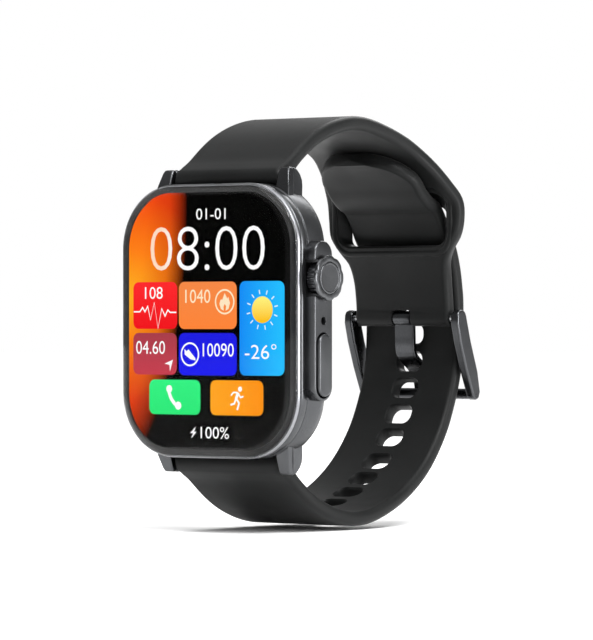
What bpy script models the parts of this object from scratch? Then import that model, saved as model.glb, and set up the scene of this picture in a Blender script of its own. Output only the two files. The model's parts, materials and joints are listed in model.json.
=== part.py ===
"""Smartwatch with a buckled silicone band, as an assembly of separate pieces.

Frame: the origin is the middle of the sensor window's flat face, which lies on the wrist.
+Y points into the wrist, +X to the crown side and +Z to twelve o'clock. Metres.
"""

import math

import bmesh
import bpy
import numpy as np
from mathutils import Matrix, Vector

MM = 0.001
FIT = 0.1 * MM
PLAY = 0.3 * MM

CASE_WIDTH = 36.8 * MM
CASE_HEIGHT = 44.4 * MM
CASE_CORNER = 10.5 * MM
CASE_FRONT = -10.05 * MM
CASE_BACK = -2.4 * MM
WALL = 1.65 * MM
RIM_WALL = 1.4 * MM
BACK_LEDGE = 4.8 * MM
BACK_RECESS = 2.5 * MM
LEDGE_FLOOR = -3.4 * MM
LEDGE_TOP = -4.5 * MM

GLASS_FRONT = -12.1 * MM
GLASS_THICKNESS = 1.1 * MM
GLASS_INSET = 0.2 * MM
GLASS_EDGE = 0.5 * MM
BEZEL_TOP = -10.95 * MM
BEZEL_BOTTOM = -10.25 * MM
DISPLAY_THICKNESS = 1.0 * MM
DISPLAY_INSET = 2.2 * MM
ADHESIVE_WIDTH = 0.6 * MM
CHASSIS_FRONT = -9.7 * MM
CHASSIS_THICKNESS = 0.5 * MM
BOARD_FRONT = -8.9 * MM
BOARD_THICKNESS = 0.8 * MM
SHIELD_HEIGHT = 1.4 * MM
BATTERY_THICKNESS = 3.9 * MM
COVER_THICKNESS = 1.6 * MM
COVER_BACK = -1.2 * MM
WINDOW_RADIUS = 12.0 * MM
WINDOW_STUB = 9.8 * MM
SENSOR_BOARD_THICKNESS = 0.7 * MM
SCREW_HEAD = 0.8 * MM
SCREW_SHANK = 0.45 * MM
PIN_RADIUS = 0.9 * MM
PIN_SPACING = 6.0 * MM

GUARD_Y = -6.75 * MM
GUARD_DEPTH = 4.7 * MM
GUARD_LENGTH = 25.6 * MM
GUARD_PROUD = 1.9 * MM

CROWN_Z = 6.85 * MM
CROWN_BARREL = 2.65 * MM
CROWN_FLANGE = 3.65 * MM
CROWN_FLANGE_THICKNESS = 0.6 * MM
CROWN_TRAVEL = 0.25 * MM
CROWN_GAP = 0.7 * MM
STEM_RADIUS = 0.75 * MM
STEM_INNER = 5.0 * MM
TUBE_RADIUS = 1.9 * MM
TUBE_REACH = 3.0 * MM

BUTTON_Z = -7.1 * MM
BUTTON_LENGTH = 10.0 * MM
BUTTON_WIDTH = 3.2 * MM
BUTTON_PROUD = 0.45 * MM
BUTTON_TRAVEL = 0.35 * MM
BUTTON_DEPTH = 1.7 * MM
POST_RADIUS = 0.6 * MM
PORT_RADIUS = 0.6 * MM

LUG_GAP = 22.4 * MM
LUG_THICKNESS = 3.1 * MM
BAR_Y = -5.0 * MM
BAR_RISE = 1.1 * MM
BAR_RADIUS = 0.8 * MM
BAR_BORE = 0.5 * MM
TIP_RADIUS = 0.4 * MM
TIP_REACH = 1.0 * MM
RELEASE_TRAVEL = 1.2 * MM

BAND_WIDTH = 22.0 * MM
BUCKLE_WIDTH = 20.0 * MM
BAND_DEPTH = 49.0 * MM
STRAP_THICKNESS = 2.4 * MM
TAIL_THICKNESS = 2.4 * MM
STRAP_EDGE = 0.6 * MM
END_BARREL = 1.8 * MM
OVERLAP_GAP = 0.5 * MM
SLOT_CENTRE = 17.6 * MM
SLOT_LENGTH = 9.6 * MM
SLOT_WIDTH = 22.6 * MM
SLOT_CORNER = 2.2 * MM
HOLE_WIDTH = 5.2 * MM
HOLE_LENGTH = 3.3 * MM
HOLE_CORNER = 1.4 * MM
HOLE_PITCH = 5.0 * MM
HOLE_COUNT = 10
FIRST_HOLE = -7.55 * MM

BUCKLE_BAR_RADIUS = 0.7 * MM
BUCKLE_ARM = 1.6 * MM
BUCKLE_ARM_DEPTH = 2.6 * MM
FAR_BAR_RADIUS = 0.9 * MM
TONGUE_WIDTH = 3.5 * MM
TONGUE_THICKNESS = 0.9 * MM

HALF_W = CASE_WIDTH / 2
HALF_H = CASE_HEIGHT / 2
BAR_Z = HALF_H + BAR_RISE
GUARD_FACE = HALF_W + GUARD_PROUD
FLANGE_IN = GUARD_FACE + CROWN_GAP

# Loop of the band from a lug to the back: shares of BAND_DEPTH from the spring bar and of
# BAR_Z from the middle, then the half width there in millimetres.
UPPER_LOOP = (
    (0.0, 1.0, 11.0), (0.133, 1.232, 11.0), (0.255, 1.348, 11.0), (0.4, 1.41, 11.0),
    (0.52, 1.37, 11.0), (0.632, 1.303, 11.0), (0.72, 1.222, 11.2), (0.795, 1.105, 12.2),
    (0.85, 0.98, 13.3), (0.89, 0.865, 14.1), (0.898, 0.74, 14.1), (0.894, 0.62, 13.6),
    (0.9, 0.525, 12.1), (0.918, 0.43, 10.6), (0.935, 0.3, 10.1), (0.945, 0.15, 10.0),
    (0.949, 0.02, 10.0),
)
LOWER_LOOP = (
    (0.0, -1.0, 11.0), (0.133, -1.232, 11.0), (0.255, -1.348, 11.0), (0.4, -1.41, 11.0),
    (0.53, -1.365, 10.8), (0.67, -1.25, 10.5), (0.8, -1.065, 10.3), (0.9, -0.82, 10.1),
    (0.96, -0.57, 10.0), (0.993, -0.35, 10.0), (1.004, -0.15, 10.0),
)


def clear_scene():
    for obj in list(bpy.data.objects):
        bpy.data.objects.remove(obj)


def collection(name, hidden=False):
    group = bpy.data.collections.new(name)
    group.hide_render = hidden
    bpy.context.scene.collection.children.link(group)
    return group


def material(name, colour, metallic=0.0, roughness=0.5):
    mat = bpy.data.materials.new(name)
    mat.use_nodes = True
    shader = mat.node_tree.nodes["Principled BSDF"]
    shader.inputs["Base Color"].default_value = (*colour, 1.0)
    shader.inputs["Metallic"].default_value = metallic
    shader.inputs["Roughness"].default_value = roughness
    return mat


def new_object(name, mesh, group, mat=None):
    obj = bpy.data.objects.new(name, mesh)
    group.objects.link(obj)
    if mat:
        mesh.materials.append(mat)
        mesh.shade_smooth()
        mesh.set_sharp_from_angle(angle=math.radians(35))
    else:
        obj.hide_render = True
        obj.display_type = "WIRE"
    return obj


def baked(obj, matrix=Matrix()):
    """The evaluated curve as a welded mesh with its faces pointing out; the curve goes."""
    graph = bpy.context.evaluated_depsgraph_get()
    mesh = bpy.data.meshes.new_from_object(obj.evaluated_get(graph))
    bpy.data.objects.remove(obj)
    work = bmesh.new()
    work.from_mesh(mesh)
    bmesh.ops.remove_doubles(work, verts=work.verts, dist=1e-7)
    bmesh.ops.transform(work, matrix=matrix, verts=work.verts)
    bmesh.ops.recalc_face_normals(work, faces=work.faces)
    work.to_mesh(mesh)
    work.free()
    return mesh


def flat_curve(points, closed=True):
    curve = bpy.data.curves.new("outline", "CURVE")
    curve.dimensions = "2D"
    spline = curve.splines.new("POLY")
    spline.points.add(len(points) - 1)
    for target, (a, b) in zip(spline.points, points):
        target.co = (a, b, 0.0, 1.0)
    spline.use_cyclic_u = closed
    obj = bpy.data.objects.new("outline", curve)
    bpy.context.scene.collection.objects.link(obj)
    return obj


# A curve's own plane is XY: these turn it to face along -Y or +X.
FACE_Y = Matrix(((1, 0, 0, 0), (0, 0, -1, 0), (0, 1, 0, 0), (0, 0, 0, 1)))
FACE_X = Matrix(((0, 0, 1, 0), (1, 0, 0, 0), (0, 1, 0, 0), (0, 0, 0, 1)))


def prism(points, low, high, facing=FACE_Y, edge=0.0):
    """Mesh of a flat outline drawn out from low to high: along Y for (x, z), along X for (y, z)."""
    obj = flat_curve(points)
    obj.data.fill_mode = "BOTH"
    obj.data.extrude = (high - low) / 2 - edge
    obj.data.bevel_depth = edge
    obj.data.offset = -edge
    obj.data.bevel_resolution = 1
    shift = Vector((0, (low + high) / 2, 0)) if facing is FACE_Y else Vector(((low + high) / 2, 0, 0))
    return baked(obj, Matrix.Translation(shift) @ facing)


def swept_ring(outline, section):
    """Mesh of a closed section of (inset, y) points carried round a closed (x, z) outline."""
    path = flat_curve(outline)
    profile = flat_curve([(inset, -y) for inset, y in section])
    path.data.bevel_mode = "OBJECT"
    path.data.bevel_object = profile
    mesh = baked(path, FACE_Y)
    bpy.data.objects.remove(profile)
    return mesh


def rounded(half_x, half_z, radius, centre=(0.0, 0.0), steps=8):
    """Corners of a rounded rectangle, anticlockwise, with each corner an arc."""
    points = []
    for quarter, (sx, sz) in enumerate(((1, 1), (-1, 1), (-1, -1), (1, -1))):
        for step in range(steps + 1):
            angle = math.pi / 2 * (quarter + step / steps)
            x = centre[0] + sx * (half_x - radius) + radius * math.cos(angle)
            z = centre[1] + sz * (half_z - radius) + radius * math.sin(angle)
            if not points or math.dist(points[-1], (x, z)) > 1e-7:
                points.append((x, z))
    return points


def case_outline(inset=0.0, steps=8):
    return rounded(HALF_W - inset, HALF_H - inset, CASE_CORNER - inset, steps=steps)


def cylinder(radius, low, high, axis, centre, segments=20):
    """Mesh of a cylinder along axis X or Y, from low to high, at the other two coordinates."""
    work = bmesh.new()
    bmesh.ops.create_cone(
        work, cap_ends=True, segments=segments, radius1=radius, radius2=radius, depth=high - low
    )
    middle = (low + high) / 2
    if axis == "X":
        turn = Matrix.Rotation(math.pi / 2, 4, "Y")
        place = Matrix.Translation((middle, *centre))
    else:
        turn = Matrix.Rotation(-math.pi / 2, 4, "X")
        place = Matrix.Translation((centre[0], middle, centre[1]))
    bmesh.ops.transform(work, matrix=place @ turn, verts=work.verts)
    mesh = bpy.data.meshes.new("cylinder")
    work.to_mesh(mesh)
    work.free()
    return mesh


def box(low, high):
    work = bmesh.new()
    bmesh.ops.create_cube(work, size=1.0)
    size = Vector(high) - Vector(low)
    place = Matrix.Translation((Vector(high) + Vector(low)) / 2) @ Matrix.Diagonal((*size, 1.0))
    bmesh.ops.transform(work, matrix=place, verts=work.verts)
    mesh = bpy.data.meshes.new("box")
    work.to_mesh(mesh)
    work.free()
    return mesh


def torus(major, minor, axis, centre):
    """Mesh of a seal ring: a circle turned about axis X or Y."""
    bpy.ops.mesh.primitive_torus_add(
        major_segments=20, minor_segments=6, major_radius=major, minor_radius=minor
    )
    obj = bpy.context.object
    mesh = obj.data
    turn = Matrix.Rotation(math.pi / 2, 4, "Y" if axis == "X" else "X")
    mesh.transform(Matrix.Translation(centre) @ turn)
    bpy.data.objects.remove(obj)
    return mesh


def boolean(obj, mesh, group, operation="DIFFERENCE"):
    helper = new_object(f"{obj.name}_{operation.lower()}", mesh, group)
    modifier = obj.modifiers.new(operation.title(), "BOOLEAN")
    modifier.operation = operation
    modifier.solver = "EXACT"
    modifier.object = helper


def turned(name, profile, x_axis_at, parts, mat, steps=20):
    """Piece turned about an axis along X: profile of (radius, x) points, largest x first."""
    mesh = bpy.data.meshes.new(name)
    y, z = x_axis_at
    mesh.from_pydata([(r, 0, x) for r, x in profile], [(i, i + 1) for i in range(len(profile) - 1)], [])
    obj = new_object(name, mesh, parts, mat)
    obj.location = (0, y, z)
    obj.rotation_euler = (0, math.pi / 2, 0)
    screw = obj.modifiers.new("Screw", "SCREW")
    screw.axis = "Z"
    screw.steps = screw.render_steps = steps
    screw.use_merge_vertices = True
    screw.merge_threshold = 1e-6
    screw.use_smooth_shade = True
    return obj


def smooth_path(points, step):
    """Points about one step apart on a Catmull-Rom curve through rows of any number of values."""
    rows = np.array(points, dtype=float)
    rows = np.vstack([2 * rows[0] - rows[1], rows, 2 * rows[-1] - rows[-2]])
    share = np.linspace(0, 1, 33)[:-1, None]
    pieces = []
    for a, b, c, d in zip(rows[:-3], rows[1:-2], rows[2:-1], rows[3:]):
        pieces.append(
            0.5 * (2 * b + (c - a) * share + (2 * a - 5 * b + 4 * c - d) * share**2
                   + (3 * b - a - 3 * c + d) * share**3)
        )
    fine = np.vstack([*pieces, rows[-2:-1]])
    along = np.r_[0, np.cumsum(np.linalg.norm(np.diff(fine[:, :2], axis=0), axis=1))]
    count = max(2, round(along[-1] / step) + 1)
    wanted = np.linspace(0, along[-1], count)
    return np.column_stack([np.interp(wanted, along, column) for column in fine.T]), wanted


def normals(path):
    """Unit normals of a path in the YZ plane, to the left of its direction."""
    way = np.gradient(path[:, :2], axis=0)
    way /= np.linalg.norm(way, axis=1)[:, None]
    return np.column_stack([-way[:, 1], way[:, 0]])


def loop_points(shares):
    return [(BAR_Y + y * BAND_DEPTH, z * BAR_Z, half * MM) for y, z, half in shares]


def upper_path(step=2.2 * MM):
    """Centreline of the upper strap, from the spring bar to the buckle bar: y, z, half width."""
    return smooth_path(loop_points(UPPER_LOOP), step)[0]


def lower_path(step=2.2 * MM):
    """Centreline of the lower strap: it lies outside the upper one, then tucks in at its slot."""
    under, _ = smooth_path(loop_points(UPPER_LOOP)[::-1], 0.4 * MM)
    side = normals(under)
    rise = under[:, 1]
    passed = np.r_[0, np.cumsum(np.linalg.norm(np.diff(under[:, :2], axis=0), axis=1))]
    slot = passed[np.argmax(rise > SLOT_CENTRE)]
    share = np.clip((passed - slot) / (1.35 * SLOT_LENGTH) + 0.5, 0, 1)
    blend = share * share * (3 - 2 * share)
    outer = STRAP_THICKNESS + OVERLAP_GAP
    inner = (STRAP_THICKNESS + TAIL_THICKNESS) / 2 + OVERLAP_GAP
    offset = outer + blend * (-inner - outer)
    line = under[:, :2] - side * offset[:, None]
    # The tail ends where the upper strap starts to fall back to the case.
    last = np.argmax(under[:, 0] < BAR_Y + 0.62 * BAND_DEPTH)
    chosen = [
        (*line[i], BUCKLE_WIDTH / 2) for i in range(0, last, 6) if rise[i] > 0.03 * BAR_Z
    ]
    path, along = smooth_path(loop_points(LOWER_LOOP) + chosen, step)
    left = along[-1] - along
    radius = 0.55 * BUCKLE_WIDTH
    near = np.clip(left / radius, 0.08, 1)
    path[:, 2] = np.minimum(path[:, 2], path[:, 2] * np.sqrt(1 - (1 - near) ** 2))
    return path


def ribbon(name, path, thickness, edge, parts, mat):
    """Strip with square sides along a path of (y, z, half width), thickened about its middle."""
    work = bmesh.new()
    rows = [[work.verts.new((side * w, y, z)) for side in (-1, 1)] for y, z, w in path]
    for (a, b), (c, d) in zip(rows, rows[1:]):
        work.faces.new((a, b, d, c))
    mesh = bpy.data.meshes.new(name)
    work.to_mesh(mesh)
    work.free()
    obj = new_object(name, mesh, parts, mat)
    solid = obj.modifiers.new("Solidify", "SOLIDIFY")
    solid.thickness = thickness
    solid.offset = 0.0
    solid.use_even_offset = True
    bevel = obj.modifiers.new("Bevel", "BEVEL")
    bevel.width = edge
    bevel.segments = 2
    bevel.limit_method = "ANGLE"
    bevel.angle_limit = math.radians(60)
    return obj


def placed_hole(point, normal, half_x, half_s, corner, depth):
    """Rounded cutter centred on a path point and driven along the path's normal."""
    mesh = prism(rounded(half_x, half_s, corner, steps=4), -depth, depth)
    y, z = normal
    turn = Matrix(((1, 0, 0, 0), (0, y, -z, 0), (0, z, y, 0), (0, 0, 0, 1)))
    mesh.transform(Matrix.Translation((0, point[0], point[1])) @ turn)
    return mesh


def merged(meshes):
    work = bmesh.new()
    for mesh in meshes:
        work.from_mesh(mesh)
    joined = bpy.data.meshes.new("cutters")
    work.to_mesh(joined)
    work.free()
    return joined


def coil(name, radius, wire, low, high, turns, centre, parts, mat):
    """Compression spring along X from low to high."""
    count = turns * 8
    curve = bpy.data.curves.new(name, "CURVE")
    curve.dimensions = "3D"
    curve.bevel_depth = wire
    curve.bevel_resolution = 0
    curve.use_fill_caps = True
    spline = curve.splines.new("POLY")
    spline.points.add(count)
    for i, point in enumerate(spline.points):
        angle = math.tau * i / 8
        point.co = (
            low + (high - low) * i / count,
            centre[0] + radius * math.cos(angle),
            centre[1] + radius * math.sin(angle),
            1.0,
        )
    guide = bpy.data.objects.new(name, curve)
    bpy.context.scene.collection.objects.link(guide)
    return new_object(name, baked(guide), parts, mat)


def case_parts(parts, cutters, mats):
    outline = case_outline()
    frame = new_object("mid_frame", swept_ring(outline, (
        (0.35 * MM, CASE_FRONT), (0.05 * MM, CASE_FRONT + 0.3 * MM), (0.05 * MM, CASE_BACK - 2.2 * MM),
        (0.5 * MM, CASE_BACK - 1.2 * MM), (1.5 * MM, CASE_BACK - 0.4 * MM), (BACK_RECESS, CASE_BACK),
        (BACK_RECESS, LEDGE_FLOOR), (BACK_LEDGE, LEDGE_FLOOR), (BACK_LEDGE, LEDGE_TOP),
        (WALL, LEDGE_TOP), (WALL, CASE_FRONT + 0.75 * MM), (RIM_WALL, CASE_FRONT + 0.75 * MM),
        (RIM_WALL, CASE_FRONT),
    )), parts, mats["case"])
    for sx in (-1, 1):
        for sz in (-1, 1):
            inner = sx * LUG_GAP / 2
            outer = sx * (LUG_GAP / 2 + LUG_THICKNESS)
            tip = BAR_Z + 1.5 * MM
            side = [
                (BAR_Y - 3.3 * MM, BAR_Z - 4.9 * MM), (BAR_Y - 2.6 * MM, BAR_Z - 1.3 * MM),
                (BAR_Y - 1.4 * MM, tip - 0.2 * MM), (BAR_Y - 0.9 * MM, tip), (BAR_Y + 0.2 * MM, tip),
                (BAR_Y + 1.1 * MM, tip - 0.6 * MM), (BAR_Y + 1.6 * MM, tip - 1.6 * MM),
                (BAR_Y + 1.6 * MM, tip - 3.2 * MM), (BAR_Y + 0.6 * MM, BAR_Z - 4.9 * MM),
            ]
            mesh = prism([(y, sz * z) for y, z in side], min(inner, outer), max(inner, outer), FACE_X)
            boolean(frame, mesh, cutters, "UNION")
    guard = rounded(GUARD_DEPTH / 2, GUARD_LENGTH / 2, GUARD_DEPTH / 2, (GUARD_Y, 0), 5)
    boolean(frame, prism(guard, HALF_W - 0.8 * MM, GUARD_FACE, FACE_X), cutters, "UNION")
    notch = CROWN_BARREL + PLAY
    boolean(frame, box((HALF_W + 0.05 * MM, GUARD_Y - GUARD_DEPTH, CROWN_Z - notch),
                       (GUARD_FACE + MM, GUARD_Y + GUARD_DEPTH, CROWN_Z + notch)), cutters)
    inside = case_outline(WALL + 0.02 * MM)
    boolean(frame, prism(inside, CASE_FRONT + 0.8 * MM, LEDGE_TOP - 0.02 * MM), cutters)
    pocket = rounded(BUTTON_WIDTH / 2 + PLAY / 2, BUTTON_LENGTH / 2 + PLAY / 2,
                     BUTTON_WIDTH / 2 + PLAY / 2, (GUARD_Y, BUTTON_Z), 5)
    floor = GUARD_FACE - BUTTON_DEPTH
    boolean(frame, prism(pocket, floor, GUARD_FACE + MM, FACE_X), cutters)
    wall_in = HALF_W - WALL - MM
    boolean(frame, cylinder(POST_RADIUS + 2 * PLAY, wall_in, floor + MM, "X", (GUARD_Y, BUTTON_Z)), cutters)
    boolean(frame, cylinder(TUBE_RADIUS + FIT, wall_in, HALF_W + MM, "X", (GUARD_Y, CROWN_Z)), cutters)
    boolean(frame, cylinder(PORT_RADIUS, wall_in, GUARD_FACE + MM, "X", (GUARD_Y, 0), 12), cutters)
    slots = [
        prism(rounded(0.5 * MM, 1.6 * MM, 0.5 * MM, (GUARD_Y, z * MM), 3),
              -HALF_W - MM, -HALF_W + WALL + MM, FACE_X)
        for z in (-4.5, 0, 4.5)
    ]
    boolean(frame, merged(slots), cutters)
    boolean(frame, merged([
        cylinder(END_BARREL + PLAY, -LUG_GAP / 2, LUG_GAP / 2, "X", (BAR_Y, sz * BAR_Z), 24) for sz in (-1, 1)
    ]), cutters)
    blind = LUG_GAP / 2 + TIP_REACH + 0.4 * MM
    for sz in (-1, 1):
        boolean(frame, cylinder(TIP_RADIUS + FIT, -blind, blind, "X", (BAR_Y, sz * BAR_Z), 12), cutters)
    depth = LEDGE_TOP + 0.5 * MM
    boolean(frame, merged([
        cylinder(SCREW_SHANK + FIT, depth - MM, LEDGE_FLOOR + MM, "Y", at, 12) for at in screw_places()
    ]), cutters)

    bezel = (
        (0.35 * MM, BEZEL_TOP), (0.0, BEZEL_TOP + 0.45 * MM), (0.0, BEZEL_BOTTOM),
        (RIM_WALL, BEZEL_BOTTOM), (RIM_WALL, BEZEL_TOP),
    )
    new_object("front_bezel", swept_ring(outline, bezel), parts, mats["bezel"])
    glass = prism(case_outline(GLASS_INSET), GLASS_FRONT, GLASS_FRONT + GLASS_THICKNESS, edge=GLASS_EDGE)
    new_object("glass_lens", glass, parts, mats["glass"])
    behind = GLASS_FRONT + GLASS_THICKNESS + 0.05 * MM
    seat = RIM_WALL + 0.05 * MM
    adhesive = (
        (seat, behind), (seat, CASE_FRONT + 0.2 * MM),
        (seat + ADHESIVE_WIDTH, CASE_FRONT + 0.2 * MM), (seat + ADHESIVE_WIDTH, behind),
    )
    new_object("lens_adhesive", swept_ring(outline, adhesive), parts, mats["black"])
    display = prism(case_outline(DISPLAY_INSET), behind, behind + DISPLAY_THICKNESS)
    new_object("display_panel", display, parts, mats["display"])


def screw_places():
    """Middles of the back screws, on the corner ledges."""
    reach = CASE_CORNER - (BACK_RECESS + BACK_LEDGE) / 2
    x = HALF_W - CASE_CORNER + reach * math.sqrt(0.5)
    z = HALF_H - CASE_CORNER + reach * math.sqrt(0.5)
    return [(sx * x, sz * z) for sx in (1, -1) for sz in (1, -1)]


def inner_parts(parts, cutters, mats):
    chassis_back = CHASSIS_FRONT + CHASSIS_THICKNESS
    chassis = new_object("inner_chassis", prism(case_outline(WALL + PLAY), CHASSIS_FRONT, chassis_back),
                         parts, mats["chassis"])
    notch_z = -HALF_H + WALL + 3.0 * MM
    boolean(chassis, box((-6 * MM, CHASSIS_FRONT - MM, -HALF_H), (6 * MM, chassis_back + MM, notch_z)), cutters)
    board_back = BOARD_FRONT + BOARD_THICKNESS
    board = rounded(12.6 * MM, 9.4 * MM, 5.0 * MM, (-2.4 * MM, 9.6 * MM), 5)
    new_object("main_board", prism(board, BOARD_FRONT, board_back), parts, mats["board"])
    shield = rounded(6.0 * MM, 5.5 * MM, 0.6 * MM, (0.5 * MM, 11.0 * MM), 2)
    new_object("processor_shield", prism(shield, board_back + 0.05 * MM, board_back + SHIELD_HEIGHT),
               parts, mats["steel"])
    cell = rounded(11.5 * MM, 8.0 * MM, 1.5 * MM, (-1.0 * MM, -9.0 * MM), 4)
    new_object("battery", prism(cell, BOARD_FRONT, BOARD_FRONT + BATTERY_THICKNESS), parts, mats["battery"])
    new_object("vibration_motor", cylinder(3.8 * MM, board_back + 0.05 * MM, board_back + 2.5 * MM, "Y",
                                           (-9.8 * MM, 11.0 * MM)), parts, mats["steel"])
    left = -HALF_W + WALL + PLAY
    new_object("speaker", box((left, GUARD_Y - 1.6 * MM, -6.5 * MM), (left + 3.2 * MM, GUARD_Y + 1.9 * MM, 0)),
               parts, mats["black"])
    right = HALF_W - WALL - PLAY
    new_object("microphone", box((right - 1.4 * MM, GUARD_Y - MM, -1.3 * MM), (right, GUARD_Y + MM, 1.3 * MM)),
               parts, mats["steel"])
    flex_y = (chassis_back + BOARD_FRONT) / 2
    under = GLASS_FRONT + GLASS_THICKNESS + DISPLAY_THICKNESS + 0.2 * MM
    end = notch_z - 1.2 * MM
    half = 0.06 * MM
    strip = [
        (under - half, end - half), (flex_y + half, end - half), (flex_y + half, 0.0),
        (flex_y - half, 0.0), (flex_y - half, end + half), (under + half, end + half),
        (under + half, notch_z - 0.3 * MM), (under - half, notch_z - 0.3 * MM),
    ]
    new_object("display_flex", prism(strip, -4 * MM, 4 * MM, FACE_X), parts, mats["flex"])


def back_parts(parts, cutters, mats):
    front = COVER_BACK - COVER_THICKNESS
    cover = new_object("back_cover", prism(case_outline(BACK_RECESS + FIT), front, COVER_BACK, edge=0.5 * MM),
                       parts, mats["cover"])
    boolean(cover, cylinder(WINDOW_STUB + FIT, front - MM, COVER_BACK + MM, "Y", (0, 0), 48), cutters)
    pins = [(sx * PIN_SPACING / 2, -WINDOW_RADIUS - 2.6 * MM) for sx in (-1, 1)]
    boolean(cover, merged([
        cylinder(PIN_RADIUS + FIT, front - MM, COVER_BACK + MM, "Y", at) for at in pins
    ]), cutters)
    boolean(cover, merged([
        cylinder(SCREW_SHANK + FIT, front - MM, COVER_BACK - 0.6 * MM, "Y", at, 12) for at in screw_places()
    ]), cutters)
    boolean(cover, merged([
        cylinder(SCREW_HEAD + FIT, COVER_BACK - 0.7 * MM, COVER_BACK + MM, "Y", at, 16)
        for at in screw_places()
    ]), cutters)
    gasket = (
        (BACK_RECESS + FIT, LEDGE_FLOOR + 0.05 * MM), (BACK_RECESS + FIT, front - 0.05 * MM),
        (BACK_RECESS + 0.55 * MM, front - 0.05 * MM), (BACK_RECESS + 0.55 * MM, LEDGE_FLOOR + 0.05 * MM),
    )
    new_object("back_gasket", swept_ring(case_outline(), gasket), parts, mats["black"])
    window = turned("sensor_window", (
        (0.0, 0.0), (WINDOW_RADIUS - 0.9 * MM, 0.0), (WINDOW_RADIUS - 0.2 * MM, -0.4 * MM),
        (WINDOW_RADIUS, COVER_BACK + 0.05 * MM), (WINDOW_STUB, COVER_BACK + 0.05 * MM),
        (WINDOW_STUB, front), (0.0, front),
    ), (0, 0), parts, mats["window"], 48)
    window.rotation_euler = (-math.pi / 2, 0, 0)
    board_back = LEDGE_TOP + 0.9 * MM
    new_object("sensor_board", cylinder(WINDOW_STUB, board_back - SENSOR_BOARD_THICKNESS, board_back, "Y",
                                        (0, 0), 32), parts, mats["board"])
    for i, at in enumerate(screw_places(), 1):
        shank = SCREW_SHANK
        head = COVER_BACK - 0.15 * MM
        seat = COVER_BACK - 0.65 * MM
        screw = turned(f"back_screw_{i}", (
            (0.0, head), (SCREW_HEAD, head), (SCREW_HEAD, seat), (shank, seat),
            (shank, LEDGE_TOP + 0.6 * MM), (0.0, LEDGE_TOP + 0.6 * MM),
        ), (0, 0), parts, mats["steel"], 12)
        screw.rotation_euler = (-math.pi / 2, 0, 0)
        screw.location = (at[0], 0, at[1])
        boolean(screw, box((at[0] - 0.15 * MM, head - 0.2 * MM, at[1] - 0.5 * MM),
                           (at[0] + 0.15 * MM, head + MM, at[1] + 0.5 * MM)), cutters)
    for name, at in zip(("left", "right"), pins):
        new_object(f"charge_pin_{name}", cylinder(PIN_RADIUS, front + FIT, COVER_BACK, "Y", at, 16),
                   parts, mats["gold"])
        sx = math.copysign(1, at[0])
        place = (sx * (PIN_SPACING / 2 + 3.4 * MM), at[1] + 0.6 * MM)
        new_object(f"charge_magnet_{name}", cylinder(1.6 * MM, front - 1.4 * MM, front - FIT, "Y", place, 16),
                   parts, mats["steel"])


def crown_parts(parts, cutters, mats):
    axis = (GUARD_Y, CROWN_Z)
    tube_in = HALF_W - TUBE_REACH
    tube_out = HALF_W - 0.1 * MM
    bore = STEM_RADIUS + 0.08 * MM
    wide = STEM_RADIUS + 0.55 * MM
    turned("crown_tube", (
        (wide, tube_out), (TUBE_RADIUS, tube_out), (TUBE_RADIUS, tube_in), (bore, tube_in),
        (bore, tube_in + MM), (wide, tube_in + MM), (wide, tube_out),
    ), axis, parts, mats["steel"])
    seal_x = tube_in + 1.9 * MM
    new_object("crown_seal", torus(STEM_RADIUS + 0.3 * MM, 0.2 * MM, "X", (seal_x, *axis)), parts, mats["black"])
    washer = tube_in - 0.05 * MM
    groove = STEM_RADIUS - 0.25 * MM
    stem_in = HALF_W - STEM_INNER
    turned("crown_stem", (
        (0.0, FLANGE_IN - 0.5 * MM), (STEM_RADIUS, FLANGE_IN - 0.5 * MM), (STEM_RADIUS, washer),
        (groove, washer), (groove, washer - 0.6 * MM), (STEM_RADIUS, washer - 0.6 * MM),
        (STEM_RADIUS, stem_in), (0.0, stem_in),
    ), axis, parts, mats["steel"])
    turned("crown_plunger", (
        (groove + 0.06 * MM, washer - 0.05 * MM), (1.5 * MM, washer - 0.05 * MM),
        (1.5 * MM, washer - 0.55 * MM), (groove + 0.06 * MM, washer - 0.55 * MM),
        (groove + 0.06 * MM, washer - 0.05 * MM),
    ), axis, parts, mats["steel"])
    switch_face = stem_in - CROWN_TRAVEL - 0.1 * MM
    coil("crown_spring", 1.15 * MM, 0.12 * MM, switch_face + 0.25 * MM, washer - 0.8 * MM, 3, axis,
         parts, mats["steel"])
    switch = box((switch_face - 1.6 * MM, GUARD_Y - 1.7 * MM, CROWN_Z - 2 * MM),
                 (switch_face, GUARD_Y + 1.7 * MM, CROWN_Z + 2 * MM))
    new_object("crown_switch", switch, parts, mats["steel"])
    flutes = 20
    ring = [
        (GUARD_Y + r * math.cos(math.tau * i / (3 * flutes)), CROWN_Z + r * math.sin(math.tau * i / (3 * flutes)))
        for i in range(3 * flutes) for r in [CROWN_BARREL - (0.18 * MM if i % 3 == 0 else 0.0)]
    ]
    knob = new_object("crown_knob", prism(ring, HALF_W + 0.35 * MM, FLANGE_IN - FIT / 2, FACE_X), parts, mats["case"])
    boolean(knob, cylinder(STEM_RADIUS + 0.03 * MM, 0, FLANGE_IN - 0.45 * MM, "X", axis), cutters)
    lobes = 8
    rim = []
    for i in range(6 * lobes):
        angle = math.tau * i / (6 * lobes)
        r = CROWN_FLANGE - 0.13 * MM * (1 - math.cos(lobes * angle))
        rim.append((GUARD_Y + r * math.cos(angle), CROWN_Z + r * math.sin(angle)))
    cap = new_object("crown_cap", prism(rim, FLANGE_IN, FLANGE_IN + CROWN_FLANGE_THICKNESS, FACE_X),
                     parts, mats["case"])
    face = FLANGE_IN + CROWN_FLANGE_THICKNESS
    boolean(cap, cylinder(CROWN_BARREL, face - 0.2 * MM, face + MM, "X", axis, 32), cutters)
    new_object("crown_face", cylinder(CROWN_BARREL - FIT, face - 0.15 * MM, face + 0.1 * MM, "X", axis, 32),
               parts, mats["bezel"])


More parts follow.
